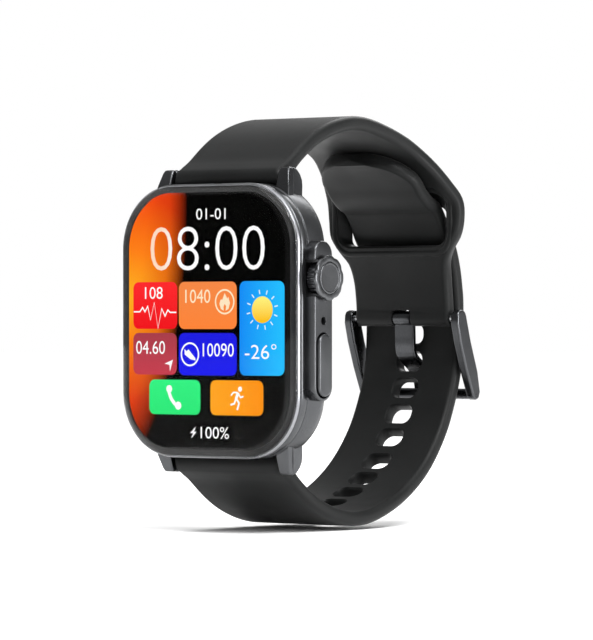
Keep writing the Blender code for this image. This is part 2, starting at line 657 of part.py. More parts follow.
def button_parts(parts, cutters, mats):
    half_w = BUTTON_WIDTH / 2
    cap_in = GUARD_FACE - BUTTON_DEPTH + BUTTON_TRAVEL + 0.15 * MM
    outline = rounded(half_w, BUTTON_LENGTH / 2, half_w, (GUARD_Y, BUTTON_Z), 5)
    cap = prism(outline, cap_in, GUARD_FACE + BUTTON_PROUD, FACE_X, edge=0.15 * MM)
    cap_object = new_object("button_cap", cap, parts, mats["case"])
    axis = (GUARD_Y, BUTTON_Z)
    boolean(cap_object, cylinder(POST_RADIUS + 0.03 * MM, cap_in - MM, cap_in + 0.5 * MM, "X", axis), cutters)
    post_in = HALF_W - WALL - 2.2 * MM
    turned("button_post", (
        (0.0, cap_in + 0.45 * MM), (POST_RADIUS, cap_in + 0.45 * MM), (POST_RADIUS, post_in + 0.9 * MM),
        (POST_RADIUS + 0.9 * MM, post_in + 0.9 * MM), (POST_RADIUS + 0.9 * MM, post_in + 0.5 * MM),
        (POST_RADIUS, post_in + 0.5 * MM), (POST_RADIUS, post_in), (0.0, post_in),
    ), axis, parts, mats["steel"])
    seal = torus(POST_RADIUS + 0.3 * MM, 0.2 * MM, "X", (HALF_W - 0.6 * WALL, *axis))
    new_object("button_seal", seal, parts, mats["black"])
    face = post_in - BUTTON_TRAVEL - 0.1 * MM
    new_object("button_switch", box((face - 1.2 * MM, GUARD_Y - 1.5 * MM, BUTTON_Z - 2 * MM),
                                    (face, GUARD_Y + 1.5 * MM, BUTTON_Z + 2 * MM)), parts, mats["steel"])


def spring_bar(side, sz, parts, mats):
    """Quick-release bar: tube, fixed tip at the left, sliding tip with a lever at the right, spring."""
    axis = (BAR_Y, sz * BAR_Z)
    half = BAND_WIDTH / 2 - 0.3 * MM
    lip = BAR_BORE - 0.06 * MM
    turned(f"{side}_bar_tube", (
        (BAR_BORE, half), (BAR_RADIUS, half), (BAR_RADIUS, -half), (BAR_BORE, -half), (BAR_BORE, half),
    ), axis, parts, mats["steel"], 16)
    tip_out = LUG_GAP / 2 + TIP_REACH
    turned(f"{side}_bar_tip", (
        (0.0, -half + 2.4 * MM), (lip, -half + 2.4 * MM), (lip, -half - 0.1 * MM),
        (TIP_RADIUS, -half - 0.1 * MM), (TIP_RADIUS, -tip_out), (0.0, -tip_out),
    ), axis, parts, mats["steel"], 12)
    turned(f"{side}_release_tip", (
        (0.0, tip_out), (TIP_RADIUS, tip_out), (TIP_RADIUS, half - 0.2 * MM), (lip, half - 0.2 * MM),
        (lip, half - 5.4 * MM), (0.0, half - 5.4 * MM),
    ), axis, parts, mats["steel"], 12)
    coil(f"{side}_bar_spring", 0.28 * MM, 0.1 * MM, -half + 2.7 * MM, half - 5.7 * MM, 7, axis,
         parts, mats["steel"])


def release_slots(side, sz, tube, strap, tip, cutters):
    """Lever of the release tip, and the slots that it needs in the tube and the strap."""
    half = BAND_WIDTH / 2 - 0.3 * MM
    x = half - 3.6 * MM
    inner_y = BAR_Y + END_BARREL
    lever = box((x - 0.3 * MM, BAR_Y, sz * BAR_Z - 0.3 * MM), (x + 0.3 * MM, inner_y + 0.3 * MM, sz * BAR_Z + 0.3 * MM))
    boolean(tip, lever, cutters, "UNION")
    room = RELEASE_TRAVEL + 0.2 * MM
    slit = box((x - 0.5 * MM - room, BAR_Y, sz * BAR_Z - 0.45 * MM),
               (x + 0.5 * MM, inner_y + MM, sz * BAR_Z + 0.45 * MM))
    boolean(tube, slit, cutters)
    wide = box((x - 1.2 * MM - room, BAR_Y + 0.2 * MM, sz * BAR_Z - 1.0 * MM),
               (x + 1.2 * MM, inner_y + 3 * MM, sz * BAR_Z + 1.6 * MM))
    boolean(strap, wide, cutters)


def straps(parts, cutters, mats):
    path = upper_path()
    upper = ribbon("upper_strap", path, STRAP_THICKNESS, STRAP_EDGE, parts, mats["strap"])
    side = normals(path)
    at = int(np.argmin(np.abs(path[:, 1] - SLOT_CENTRE) + (path[:, 0] < BAND_DEPTH / 2)))
    boolean(upper, placed_hole(path[at], side[at], SLOT_WIDTH / 2, SLOT_LENGTH / 2, SLOT_CORNER, 6 * MM), cutters)
    bar = path[-1]
    boolean(upper, cylinder(END_BARREL - 0.4 * MM, -BUCKLE_WIDTH / 2, BUCKLE_WIDTH / 2, "X", bar[:2]),
            cutters, "UNION")
    boolean(upper, cylinder(BUCKLE_BAR_RADIUS + FIT, -BAND_WIDTH, BAND_WIDTH, "X", bar[:2]), cutters)
    half = TONGUE_WIDTH / 2 + PLAY
    boolean(upper, box((-half, bar[0] - 4 * MM, bar[1] - 4 * MM), (half, bar[0] + 4 * MM, bar[1] + 1.9 * MM)), cutters)

    path = lower_path()
    lower = ribbon("lower_strap", path, TAIL_THICKNESS, STRAP_EDGE, parts, mats["strap"])
    fine, along = smooth_path(path, 0.25 * MM)
    side = normals(fine)
    back = fine[:, 0] > BAND_DEPTH / 2
    first = along[np.argmax(back & (fine[:, 1] > FIRST_HOLE))]
    holes = []
    for i in range(-7, HOLE_COUNT - 7):
        j = int(np.argmin(np.abs(along - first - i * HOLE_PITCH)))
        holes.append(placed_hole(fine[j], side[j], HOLE_WIDTH / 2, HOLE_LENGTH / 2, HOLE_CORNER, 2.4 * MM))
    boolean(lower, merged(holes), cutters)
    for name, sz, strap in (("upper", 1, upper), ("lower", -1, lower)):
        half_w = BAND_WIDTH / 2
        boolean(strap, cylinder(END_BARREL, -half_w, half_w, "X", (BAR_Y, sz * BAR_Z), 24), cutters, "UNION")
        boolean(strap, cylinder(BAR_RADIUS + FIT, -BAND_WIDTH, BAND_WIDTH, "X", (BAR_Y, sz * BAR_Z)), cutters)
        spring_bar(name, sz, parts, mats)
        release_slots(name, sz, parts.objects[f"{name}_bar_tube"], strap,
                      parts.objects[f"{name}_release_tip"], cutters)
    return upper_path()[-1][:2]


def buckle(bar, parts, cutters, mats):
    y, z = bar
    half = BUCKLE_WIDTH / 2 + 2 * PLAY
    reach = half + BUCKLE_ARM
    new_object("buckle_bar", cylinder(BUCKLE_BAR_RADIUS, -reach + 0.2 * MM, reach - 0.2 * MM, "X", bar, 16),
               parts, mats["steel"])
    far = Vector((y + 4.1 * MM, z - 12.9 * MM))
    deep = BUCKLE_ARM_DEPTH / 2
    arm = [
        (y - 1.2 * MM, z + 1.0 * MM), (y, z + 1.5 * MM), (y + 1.2 * MM, z + 1.0 * MM),
        (y + deep + 3.2 * MM, z - 9.0 * MM), (far[0] + 1.1 * MM, far[1]), (far[0], far[1] - 1.1 * MM),
        (far[0] - 1.1 * MM, far[1] + 0.2 * MM), (y - deep + 2.4 * MM, z - 8.4 * MM), (y - 1.3 * MM, z - 0.8 * MM),
    ]
    frame = new_object("buckle_frame", prism(arm, half, reach, FACE_X), parts, mats["buckle"])
    boolean(frame, prism(arm, -reach, -half, FACE_X), cutters, "UNION")
    boolean(frame, cylinder(FAR_BAR_RADIUS, -half - MM, half + MM, "X", far, 20), cutters, "UNION")
    boolean(frame, cylinder(BUCKLE_BAR_RADIUS + FIT, -reach - MM, reach + MM, "X", bar, 16), cutters)
    line = [
        (y, z), (y + 0.1 * MM, z - 3.0 * MM), (y + 0.3 * MM, z - 5.2 * MM), (y + 1.0 * MM, z - 6.9 * MM),
        (y + 3.6 * MM, z - 8.6 * MM), (y + 4.9 * MM, z - 9.9 * MM), (y + 5.6 * MM, z - 11.6 * MM),
        (y + 5.65 * MM, z - 13.2 * MM),
    ]
    path, _ = smooth_path([(a, b, TONGUE_WIDTH / 2) for a, b in line], 0.9 * MM)
    tongue = ribbon("buckle_tongue", path, TONGUE_THICKNESS, 0.2 * MM, parts, mats["buckle"])
    boolean(tongue, cylinder(1.25 * MM, -TONGUE_WIDTH / 2, TONGUE_WIDTH / 2, "X", bar, 20), cutters, "UNION")
    boolean(tongue, cylinder(BUCKLE_BAR_RADIUS + FIT, -BAND_WIDTH, BAND_WIDTH, "X", bar, 16), cutters)


def main():
    clear_scene()
    parts = collection("smartwatch")
    cutters = collection("cutters", hidden=True)
    mats = {
        "case": material("gunmetal_case", (0.10, 0.10, 0.105), 1.0, 0.38),
        "bezel": material("bright_bezel", (0.45, 0.45, 0.46), 1.0, 0.25),
        "glass": material("lens_glass", (0.01, 0.01, 0.012), 0.0, 0.05),
        "window": material("sensor_glass", (0.01, 0.01, 0.012), 0.0, 0.1),
        "black": material("black_rubber", (0.01, 0.01, 0.01), 0.0, 0.7),
        "display": material("display_stack", (0.02, 0.02, 0.02), 0.0, 0.3),
        "chassis": material("chassis_alloy", (0.3, 0.3, 0.31), 1.0, 0.5),
        "board": material("circuit_board", (0.01, 0.06, 0.03), 0.0, 0.5),
        "steel": material("stainless_steel", (0.5, 0.5, 0.5), 1.0, 0.3),
        "battery": material("battery_foil", (0.3, 0.3, 0.32), 0.6, 0.4),
        "flex": material("amber_flex", (0.4, 0.15, 0.02), 0.0, 0.4),
        "cover": material("moulded_cover", (0.015, 0.015, 0.016), 0.0, 0.45),
        "gold": material("gold_contact", (0.7, 0.5, 0.2), 1.0, 0.3),
        "strap": material("black_silicone", (0.02, 0.021, 0.021), 0.0, 0.65),
        "buckle": material("gunmetal_buckle", (0.12, 0.12, 0.125), 1.0, 0.35),
    }
    case_parts(parts, cutters, mats)
    inner_parts(parts, cutters, mats)
    back_parts(parts, cutters, mats)
    crown_parts(parts, cutters, mats)
    button_parts(parts, cutters, mats)
    bar = straps(parts, cutters, mats)
    buckle(bar, parts, cutters, mats)


if __name__ == "__main__":
    main()
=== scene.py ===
"""Looks of a smartwatch with a buckled silicone band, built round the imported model.

Frame: the origin is the middle of the sensor window's flat face, +Y points into the wrist, +X to
the crown side and +Z to twelve o'clock. Lengths in the classes are millimetres, and every mesh is
written in metres by one function.
"""

import json
import logging
import math
from dataclasses import dataclass
from enum import Enum

import bmesh
import bpy
import numpy as np
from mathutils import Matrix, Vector


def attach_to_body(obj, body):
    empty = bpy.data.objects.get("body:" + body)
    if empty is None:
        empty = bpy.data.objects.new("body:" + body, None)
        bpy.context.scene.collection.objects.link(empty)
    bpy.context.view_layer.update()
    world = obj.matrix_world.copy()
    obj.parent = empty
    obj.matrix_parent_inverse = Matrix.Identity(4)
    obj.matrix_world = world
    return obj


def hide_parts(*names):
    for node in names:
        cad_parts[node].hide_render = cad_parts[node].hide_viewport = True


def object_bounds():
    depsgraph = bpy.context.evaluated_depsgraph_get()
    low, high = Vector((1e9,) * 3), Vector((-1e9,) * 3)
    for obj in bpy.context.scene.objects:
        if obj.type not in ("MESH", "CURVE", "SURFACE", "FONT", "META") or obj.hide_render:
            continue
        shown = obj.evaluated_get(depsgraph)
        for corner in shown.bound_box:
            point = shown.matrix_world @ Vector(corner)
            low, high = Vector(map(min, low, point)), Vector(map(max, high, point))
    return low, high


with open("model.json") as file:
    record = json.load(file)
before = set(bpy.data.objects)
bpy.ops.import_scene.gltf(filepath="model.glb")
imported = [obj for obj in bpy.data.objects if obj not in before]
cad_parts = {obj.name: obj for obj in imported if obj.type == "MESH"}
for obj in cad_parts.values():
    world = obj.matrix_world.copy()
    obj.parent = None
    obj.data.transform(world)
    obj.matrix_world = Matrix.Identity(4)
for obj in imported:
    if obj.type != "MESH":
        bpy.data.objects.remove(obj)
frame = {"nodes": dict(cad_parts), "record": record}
CAD_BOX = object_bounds()

MM = 0.001
# Edges that turn by more degrees than this stay sharp, unless a piece says otherwise.
SHARP = 38.0
LOG = logging.getLogger("smartwatch")
Obj = bpy.types.Object


class Facing(Enum):
    """Which way an outline's own two directions and its depth lie."""

    FRONT = "outline in X and Z, depth along Y"
    SIDE = "outline in Y and Z, depth along X"


FRONT, SIDE = Facing


# ---- numbers to meshes


def linear(colour: str) -> tuple[float, float, float, float]:
    """Turns an sRGB hex colour to linear light.

    Args:
        colour: six hex digits after a hash.

    Returns:
        Red, green, blue and an alpha of one.
    """
    shares = [int(colour[i:i + 2], 16) / 255 for i in (1, 3, 5)]
    light = [s / 12.92 if s <= 0.04045 else ((s + 0.055) / 1.055) ** 2.4 for s in shares]
    return (*light, 1.0)


def linked(name: str, data: bpy.types.ID) -> Obj:
    """Makes an object and puts it in the scene.

    Args:
        name: its name.
        data: its mesh, curve, light or camera.

    Returns:
        The new object.
    """
    obj = bpy.data.objects.new(name, data)
    bpy.context.scene.collection.objects.link(obj)
    return obj


def around(count: int) -> np.ndarray:
    """Angles of equal steps round a full turn."""
    return np.arange(count) / count * math.tau


def straight(low: float, high: float, inset: float = 0.0) -> np.ndarray:
    """Profile of a straight-sided piece between two depths, at one inset or radius."""
    return np.array([(inset, low), (inset, high)])


def finished(name: str, points: np.ndarray, faces: list, sharp: float = SHARP) -> Obj:
    """Makes an object of points in millimetres, with its faces pointing outwards.

    Args:
        name: the piece's name.
        points: rows of x, y, z.
        faces: lists of point numbers.
        sharp: edges that turn by more degrees than this stay sharp.

    Returns:
        The new object, at the origin.
    """
    mesh = bpy.data.meshes.new(name)
    mesh.from_pydata((np.asarray(points) * MM).tolist(), [], faces)
    work = bmesh.new()
    work.from_mesh(mesh)
    bmesh.ops.remove_doubles(work, verts=work.verts, dist=1e-7)
    bmesh.ops.recalc_face_normals(work, faces=work.faces)
    work.to_mesh(mesh)
    work.free()
    mesh.shade_smooth()
    mesh.set_sharp_from_angle(angle=math.radians(sharp))
    return linked(name, mesh)


def ring_faces(rows: int, count: int, closed: bool) -> list:
    """Quads between rings of points, and a flat face over each end unless the rings close.

    Args:
        rows: how many rings.
        count: points in each ring.
        closed: whether the last ring joins the first.

    Returns:
        Lists of point numbers.
    """
    last = rows if closed else rows - 1
    i, j = np.meshgrid(np.arange(last), np.arange(count), indexing="ij")
    a, b = i * count, (i + 1) % rows * count
    k = (j + 1) % count
    quads = np.stack([a + j, a + k, b + k, b + j], axis=-1).reshape(-1, 4).tolist()
    if closed:
        return quads
    return quads + [list(range(count)), list(range((rows - 1) * count, rows * count))]


def loft(name: str, rings: np.ndarray, closed: bool = False, sharp: float = SHARP) -> Obj:
    """Skins rings of points: surface(u, v) is ring u's point v.

    Args:
        name: the piece's name.
        rings: array of rings by points by x, y, z.
        closed: whether the last ring joins the first.
        sharp: the angle past which an edge stays sharp.

    Returns:
        The new object.
    """
    rows, count = rings.shape[:2]
    return finished(name, rings.reshape(-1, 3), ring_faces(rows, count, closed), sharp)


def placed(outline: np.ndarray, depth: np.ndarray, facing: Facing) -> np.ndarray:
    """Puts outline points (a, b) at a depth: (a, depth, b) from the front, (depth, a, b) from the side.

    Args:
        outline: points, the last axis being (a, b).
        depth: one depth, or an array that spreads over the points.
        facing: which way they lie.

    Returns:
        The points, the last axis being (x, y, z).
    """
    depth = np.broadcast_to(depth, outline.shape[:-1])
    order = (outline[..., 0], depth, outline[..., 1])
    if facing is SIDE:
        order = (depth, outline[..., 0], outline[..., 1])
    return np.stack(order, axis=-1)


def rounded(half_a: np.ndarray, half_b: np.ndarray, radius: np.ndarray, steps: int = 14) -> np.ndarray:
    """Rounded rectangle: each corner is a quarter circle about (half - radius).

    Args:
        half_a: half its width, a number or an array of rings.
        half_b: half its height.
        radius: corner radius.
        steps: points less one in each corner.

    Returns:
        Points anticlockwise, the last axis being (a, b).
    """
    half_a, half_b, radius = np.broadcast_arrays(half_a, half_b, radius)
    turn = (np.arange(4)[:, None] + np.linspace(0, 1, steps + 1)[None, :]).reshape(-1) * math.pi / 2
    sign_a = np.repeat([1, -1, -1, 1], steps + 1)
    sign_b = np.repeat([1, 1, -1, -1], steps + 1)
    a = sign_a * (half_a - radius)[..., None] + radius[..., None] * np.cos(turn)
    b = sign_b * (half_b - radius)[..., None] + radius[..., None] * np.sin(turn)
    return np.stack([a, b], axis=-1)


def soft_edge(low: float, high: float, edge: float, steps: int = 4) -> np.ndarray:
    """Profile of a plate with round edges: inset = edge (1 - sin t), depth = end -+ edge (1 - cos t).

    Args:
        low: depth of one face.
        high: depth of the other.
        edge: radius of both edges.
        steps: faces across each edge.

    Returns:
        Rows of inset and depth.
    """
    t = np.linspace(0, math.pi / 2, steps + 1)
    first = np.column_stack([edge * (1 - np.sin(t)), low + edge * (1 - np.cos(t))])
    second = np.column_stack([edge * (1 - np.sin(t)), high - edge * (1 - np.cos(t))])[::-1]
    return np.vstack([first, second])


def plate(name: str, size: tuple, centre: tuple, profile: np.ndarray, facing: Facing,
          steps: int = 14) -> Obj:
    """Rounded plate: each profile row (inset, depth) gives one rounded rectangle.

    Args:
        name: the piece's name.
        size: half width, half height and corner radius.
        centre: middle of the outline.
        profile: rows of inset and depth.
        facing: which way it lies.
        steps: points less one in each corner.

    Returns:
        The new object.
    """
    inset = profile[:, 0]
    radius = np.maximum(size[2] - inset, 0.02)
    outline = rounded(size[0] - inset, size[1] - inset, radius, steps) + np.array(centre)
    return loft(name, placed(outline, profile[:, 1][:, None], facing))


def band_ring(name: str, size: tuple, section: np.ndarray, steps: int = 24) -> Obj:
    """Ring round the case: each section point (inset, y) gives one rounded rectangle, and they close.

    Args:
        name: the piece's name.
        size: half width, half height and corner radius.
        section: corners of the closed section.
        steps: points less one in each corner.

    Returns:
        The new object.
    """
    section = np.asarray(section, dtype=float)
    inset = section[:, 0]
    outline = rounded(size[0] - inset, size[1] - inset, size[2] - inset, steps)
    return loft(name, placed(outline, section[:, 1][:, None], FRONT), closed=True, sharp=30)


def prism(name: str, outline: np.ndarray, low: float, high: float, facing: Facing) -> Obj:
    """Straight solid between two copies of an outline.

    Args:
        name: the piece's name.
        outline: its points.
        low: depth of one end, a number or one for each point.
        high: depth of the other.
        facing: which way it lies.

    Returns:
        The new object.
    """
    outline = np.asarray(outline, dtype=float)
    rings = np.stack([placed(outline, depth, facing) for depth in (low, high)])
    return loft(name, rings, sharp=30)


def turned(name: str, profile: np.ndarray, centre: tuple, facing: Facing, count: int = 72,
           lobes: int = 0, depth: float = 0.0, narrow: int = 1) -> Obj:
    """Turned solid: ring radius r(v) = profile radius - depth ((1 - cos(lobes v)) / 2)^narrow.

    Args:
        name: the piece's name.
        profile: rows of radius and place along the axis.
        centre: the axis in the outline's plane.
        facing: SIDE turns about X, FRONT about Y.
        count: points in each ring.
        lobes: hollows round the rim.
        depth: how deep they are.
        narrow: how narrow they are, 1 being a plain wave.

    Returns:
        The new object.
    """
    profile = np.asarray(profile, dtype=float)
    v = around(count)
    dip = depth * ((1 - np.cos(lobes * v)) / 2) ** narrow
    share = np.clip(profile[:, :1] / profile[:, 0].max(), 0, 1) ** 3
    r = np.maximum(profile[:, :1] - share * dip[None, :], 0.01)
    outline = np.stack([centre[0] + r * np.cos(v), centre[1] + r * np.sin(v)], axis=-1)
    return loft(name, placed(outline, profile[:, 1][:, None], facing))


def bevelled(obj: Obj, width: float, segments: int = 3) -> Obj:
    """Rounds every edge that turns by more than 30 degrees.

    Args:
        obj: the piece.
        width: the rounding's width in millimetres.
        segments: faces across it.

    Returns:
        The piece.
    """
    bevel = obj.modifiers.new("Edge", "BEVEL")
    bevel.width = width * MM
    bevel.segments = segments
    bevel.limit_method = "ANGLE"
    bevel.angle_limit = math.radians(30)
    return obj


def cut(obj: Obj, cutters: list) -> None:
    """Takes each cutter out of a piece, at once, and removes the cutters.

    Args:
        obj: the piece, which keeps its name.
        cutters: closed objects.
    """
    for cutter in cutters:
        modifier = obj.modifiers.new("Cut", "BOOLEAN")
        modifier.operation = "DIFFERENCE"
        modifier.solver = "EXACT"
        modifier.object = cutter
    graph = bpy.context.evaluated_depsgraph_get()
    mesh = bpy.data.meshes.new_from_object(obj.evaluated_get(graph))
    obj.modifiers.clear()
    obj.data = mesh
    mesh.shade_smooth()
    mesh.set_sharp_from_angle(angle=math.radians(35))
    for cutter in cutters:
        bpy.data.objects.remove(cutter)


# ---- finishes


def add_node(tree: bpy.types.NodeTree, kind: str, settings: dict | None = None,
             links: dict | None = None) -> bpy.types.Node:
    """Adds a node.

    Args:
        tree: the material's node tree.
        kind: the node's type name, after "ShaderNode".
        settings: its properties by name, and socket values by socket name or number.
        links: output sockets to join, by input socket name or number.

    Returns:
        The new node.
    """
    node = tree.nodes.new("ShaderNode" + kind)
    for key, value in (settings or {}).items():
        if isinstance(key, str) and hasattr(node, key):
            setattr(node, key, value)
        else:
            node.inputs[key].default_value = value
    for key, source in (links or {}).items():
        tree.links.new(source, node.inputs[key])
    return node


def new_material(name: str) -> tuple[bpy.types.Material, bpy.types.NodeTree, bpy.types.Node]:
    """Makes a material.

    Args:
        name: its name.

    Returns:
        The material, its node tree and its shader.
    """
    mat = bpy.data.materials.new(name)
    mat.use_nodes = True
    return mat, mat.node_tree, mat.node_tree.nodes["Principled BSDF"]


def set_sockets(node: bpy.types.Node, values: dict) -> None:
    """Sets constant values on a node's own sockets, by name."""
    for name, value in values.items():
        node.inputs[name].default_value = value


def colour_ramp(tree: bpy.types.NodeTree, source: bpy.types.NodeSocket, stops: tuple) -> bpy.types.Node:
    """Adds a ramp of colours over a value.

    Args:
        tree: the material's node tree.
        source: the value.
        stops: two or more rows of place and hex colour, in order.

    Returns:
        The ramp node.
    """
    ramp = add_node(tree, "ValToRGB", links={0: source})
    elements = ramp.color_ramp.elements
    for place, _ in stops[1:-1]:
        elements.new(place)
    for element, (place, colour) in zip(elements, stops):
        element.position = place
        element.color = linear(colour)
    return ramp


@dataclass(frozen=True)
class Look:
    """A named look whose material is made once."""

    name: str

    def make(self) -> bpy.types.Material:
        """Builds the material: each kind of look has its own way."""
        raise NotImplementedError

    def material(self) -> bpy.types.Material:
        """Finds the material of this name, or builds it."""
        return bpy.data.materials.get(self.name) or self.make()

    def dress(self, obj: Obj) -> Obj:
        """Gives a piece this look.

        Args:
            obj: the piece.

        Returns:
            The same piece.
        """
        obj.data.materials.clear()
        obj.data.materials.append(self.material())
        return obj


@dataclass(frozen=True)
class Finish(Look):
    """A surface finish: its colour, and a grain that mottles colour and gloss and lifts a bump."""

    colour: str
    worn: str
    metallic: float = 0.0
    roughness: float = 0.5
    grain_mm: float = 0.4
    stretch: tuple = (1.0, 1.0, 1.0)
    bump_mm: float = 0.01
    gloss_change: float = 0.08
    sockets: tuple = ()

    def make(self) -> bpy.types.Material:
        """Mixes a fine and a broad noise in Object coordinates into colour, gloss and bump.

        Returns:
            The new material.
        """
        mat, tree, shader = new_material(self.name)
        place = add_node(tree, "TexCoord").outputs["Object"]
        scale = tuple(1 / (self.grain_mm * MM * s) for s in self.stretch)
        spread = add_node(tree, "Mapping", {"Scale": scale}, {"Vector": place})
        grain = add_node(tree, "TexNoise", {"Scale": 1.0, "Detail": 4.0, "Roughness": 0.55},
                         {"Vector": spread.outputs[0]})
        broad = add_node(tree, "TexNoise", {"Scale": 110.0, "Detail": 2.0}, {"Vector": place})
        mixed = add_node(tree, "Math", {"operation": "MULTIPLY"},
                         {0: grain.outputs["Fac"], 1: broad.outputs["Fac"]})
        ramp = colour_ramp(tree, mixed.outputs[0], ((0.12, self.colour), (0.45, self.worn)))
        low, high = self.roughness - self.gloss_change, self.roughness + self.gloss_change
        gloss = add_node(tree, "MapRange",
                         {"From Min": 0.3, "From Max": 0.7, "To Min": low, "To Max": high},
                         {"Value": broad.outputs["Fac"]})
        bump = add_node(tree, "Bump", {"Strength": 0.6, "Distance": self.bump_mm * MM},
                        {"Height": grain.outputs["Fac"]})
        for node, socket in ((ramp, "Base Color"), (gloss, "Roughness"), (bump, "Normal")):
            tree.links.new(node.outputs[0], shader.inputs[socket])
        set_sockets(shader, {"Metallic": self.metallic, **dict(self.sockets)})
        return mat


@dataclass(frozen=True)
class Lit(Look):
    """Colour of a lit part of the picture, running from one end of a tile to the other."""

    start: str
    end: str
    low: float = -10.0
    high: float = 10.0
    along: int = 2

    def make(self) -> bpy.types.Material:
        """Runs the two colours along one of the Object coordinates, as light.

        Returns:
            The new material.
        """
        mat, tree, shader = new_material(self.name)
        set_sockets(shader, {**UNLIT, "Roughness": 0.6})
        place = add_node(tree, "TexCoord").outputs["Object"]
        parts = add_node(tree, "SeparateXYZ", links={0: place})
        share = add_node(tree, "MapRange", {"From Min": self.low * MM, "From Max": self.high * MM},
                         {"Value": parts.outputs[self.along]})
        ramp = colour_ramp(tree, share.outputs[0], ((0.0, self.start), (1.0, self.end)))
        tree.links.new(ramp.outputs[0], shader.inputs["Emission Color"])
        return mat


# A part of the picture gives light and mirrors nothing.
UNLIT = {"Base Color": (0.0, 0.0, 0.0, 1.0), "Specular IOR Level": 0.0, "Emission Strength": 1.0}
# Zinc alloy under a gunmetal vapour coating: a dark satin metal with a very fine tooth.
GUNMETAL = Finish("zinc_alloy_gunmetal_pvd", "#4B4C4E", "#5C5D5F", 1.0, 0.32, 0.12, bump_mm=0.002)
# Satin stainless rim: a fine drawn-out grain, brighter than the case where the light rakes it.
RIM_STEEL = Finish("stainless_steel_satin_rim", "#85868A", "#9C9DA0", 1.0, 0.32, 0.15, (1, 1, 8), 0.001)
# Bright stainless steel of the turned and stamped inside parts.
STEEL = Finish("stainless_steel_turned", "#9FA0A2", "#BDBEBF", 1.0, 0.3, 0.12, (6, 1, 1), 0.002)
# Buckle steel under the same gunmetal coating, a little glossier from handling.
BUCKLE_STEEL = Finish("steel_gunmetal_pvd_buckle", "#434446", "#565759", 1.0, 0.3, 0.1, (1, 1, 3), 0.002)
# Compression-moulded silicone rubber: near black, soft sheen, faint orange-peel of the mould.
SILICONE = Finish(
    "silicone_rubber_moulded_black", "#0D0E0E", "#151616", 0.0, 0.5, 0.22, bump_mm=0.012,
    sockets=(("Sheen Weight", 0.05), ("Sheen Roughness", 0.5), ("Specular IOR Level", 0.16)),
)
# Nitrile seals: matt black.
SEAL = Finish("nitrile_rubber_seal", "#0C0C0D", "#151516", 0.0, 0.7, 0.3, bump_mm=0.01)
# Glass-filled polycarbonate back: fine spark-eroded texture.
COVER = Finish("polycarbonate_spark_texture", "#17181A", "#232426", 0.0, 0.48, 0.25, bump_mm=0.012)
# Gloss black acrylic sensor lens, which mirrors the lights sharply.
SENSOR_GLOSS = Finish(
    "acrylic_sensor_lens_black", "#060708", "#0B0C0E", 0.0, 0.1, 0.6, bump_mm=0.0005, gloss_change=0.03,
    sockets=(("Coat Weight", 0.5), ("Coat Roughness", 0.05)),
)
# Black ceramic ink printed under the lens edge.
LENS_INK = Finish("ceramic_ink_black", "#050506", "#08080A", 0.0, 0.35, 0.5, bump_mm=0.0005,
                  gloss_change=0.03)
# The dark display stack, where nothing is lit.
PANEL = Finish("display_polariser_black", "#020203", "#040405", 0.0, 0.4, 0.5, bump_mm=0.0005,
               sockets=(("Specular IOR Level", 0.1),))
# Stamped magnesium: the pale matt chassis and shield.
ALLOY = Finish("magnesium_alloy_stamped", "#8B8D8F", "#A9ABAD", 1.0, 0.45, 0.3, bump_mm=0.01)
# Green solder mask, faintly mottled and half glossy.
BOARD = Finish("circuit_board_solder_mask", "#0E3B24", "#1B5636", 0.0, 0.4, 0.8, bump_mm=0.01)
# Aluminium pouch of the battery: pale metal with broad shallow dents.
FOIL = Finish("aluminium_laminate_pouch", "#8E9092", "#B7B9BA", 0.9, 0.35, 1.5, bump_mm=0.05)
# Smooth amber film of the flexible cables.
POLYIMIDE = Finish("polyimide_film_amber", "#8A4A12", "#A86420", 0.0, 0.3, 0.6, bump_mm=0.002)
# Gold plating of the charging contacts, the glossiest metal here.
GOLD = Finish("gold_plated_contact", "#D8AE5B", "#EAC67C", 1.0, 0.22, 0.1, bump_mm=0.001)
# Dark green gloss of a light source's window in the sensor face.
LED_LENS = Finish("epoxy_led_lens_green", "#1E5A38", "#2F7A4E", 0.0, 0.15, 0.3, bump_mm=0.001)
# Dark slate gloss of the light sensors.
DIODE = Finish("silicon_photodiode", "#23252E", "#30333E", 0.3, 0.2, 0.2, bump_mm=0.001)

SLOT_FINISH = {
    "gunmetal": GUNMETAL, "bezel": RIM_STEEL, "buckle_metal": BUCKLE_STEEL, "lens_glass": LENS_INK,
    "sensor_glass": SENSOR_GLOSS, "silicone": SILICONE, "seal_rubber": SEAL, "moulded_cover": COVER,
    "display": PANEL, "alloy": ALLOY, "steel": STEEL, "board": BOARD, "battery_foil": FOIL,
    "flex": POLYIMIDE, "gold": GOLD,
}


def lens_glass(name: str, ior: float) -> bpy.types.Material:
    """Aluminosilicate glass: clear and polished, with a faint grease-resistant film that breaks the gloss.

    Args:
        name: the material's name.
        ior: refractive index, lower than bare glass for the look of an anti-reflection coat.

    Returns:
        The material.
    """
    mat, tree, shader = new_material(name)
    set_sockets(shader, {"Base Color": (1.0, 1.0, 1.0, 1.0), "Transmission Weight": 1.0, "IOR": ior})
    place = add_node(tree, "TexCoord").outputs["Object"]
    film = add_node(tree, "TexNoise", {"Scale": 60.0, "Detail": 3.0}, {"Vector": place})
    gloss = add_node(tree, "MapRange", {"To Min": 0.0, "To Max": 0.03},
                     {"Value": film.outputs["Fac"]})
    tree.links.new(gloss.outputs[0], shader.inputs["Roughness"])
    return mat


def attach(obj: Obj, body: str, slot: str, *nodes: str) -> None:
    """Rides a piece on a body, and hides the model nodes that it stands for.

    Args:
        obj: the piece.
        body: the body it moves with.
        slot: its material slot in the record; not used.
        nodes: model nodes that it replaces.
    """
    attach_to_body(obj, body)
    if nodes:
        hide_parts(*nodes)
    LOG.info("%s rides on %s", obj.name, body)


# ---- the case


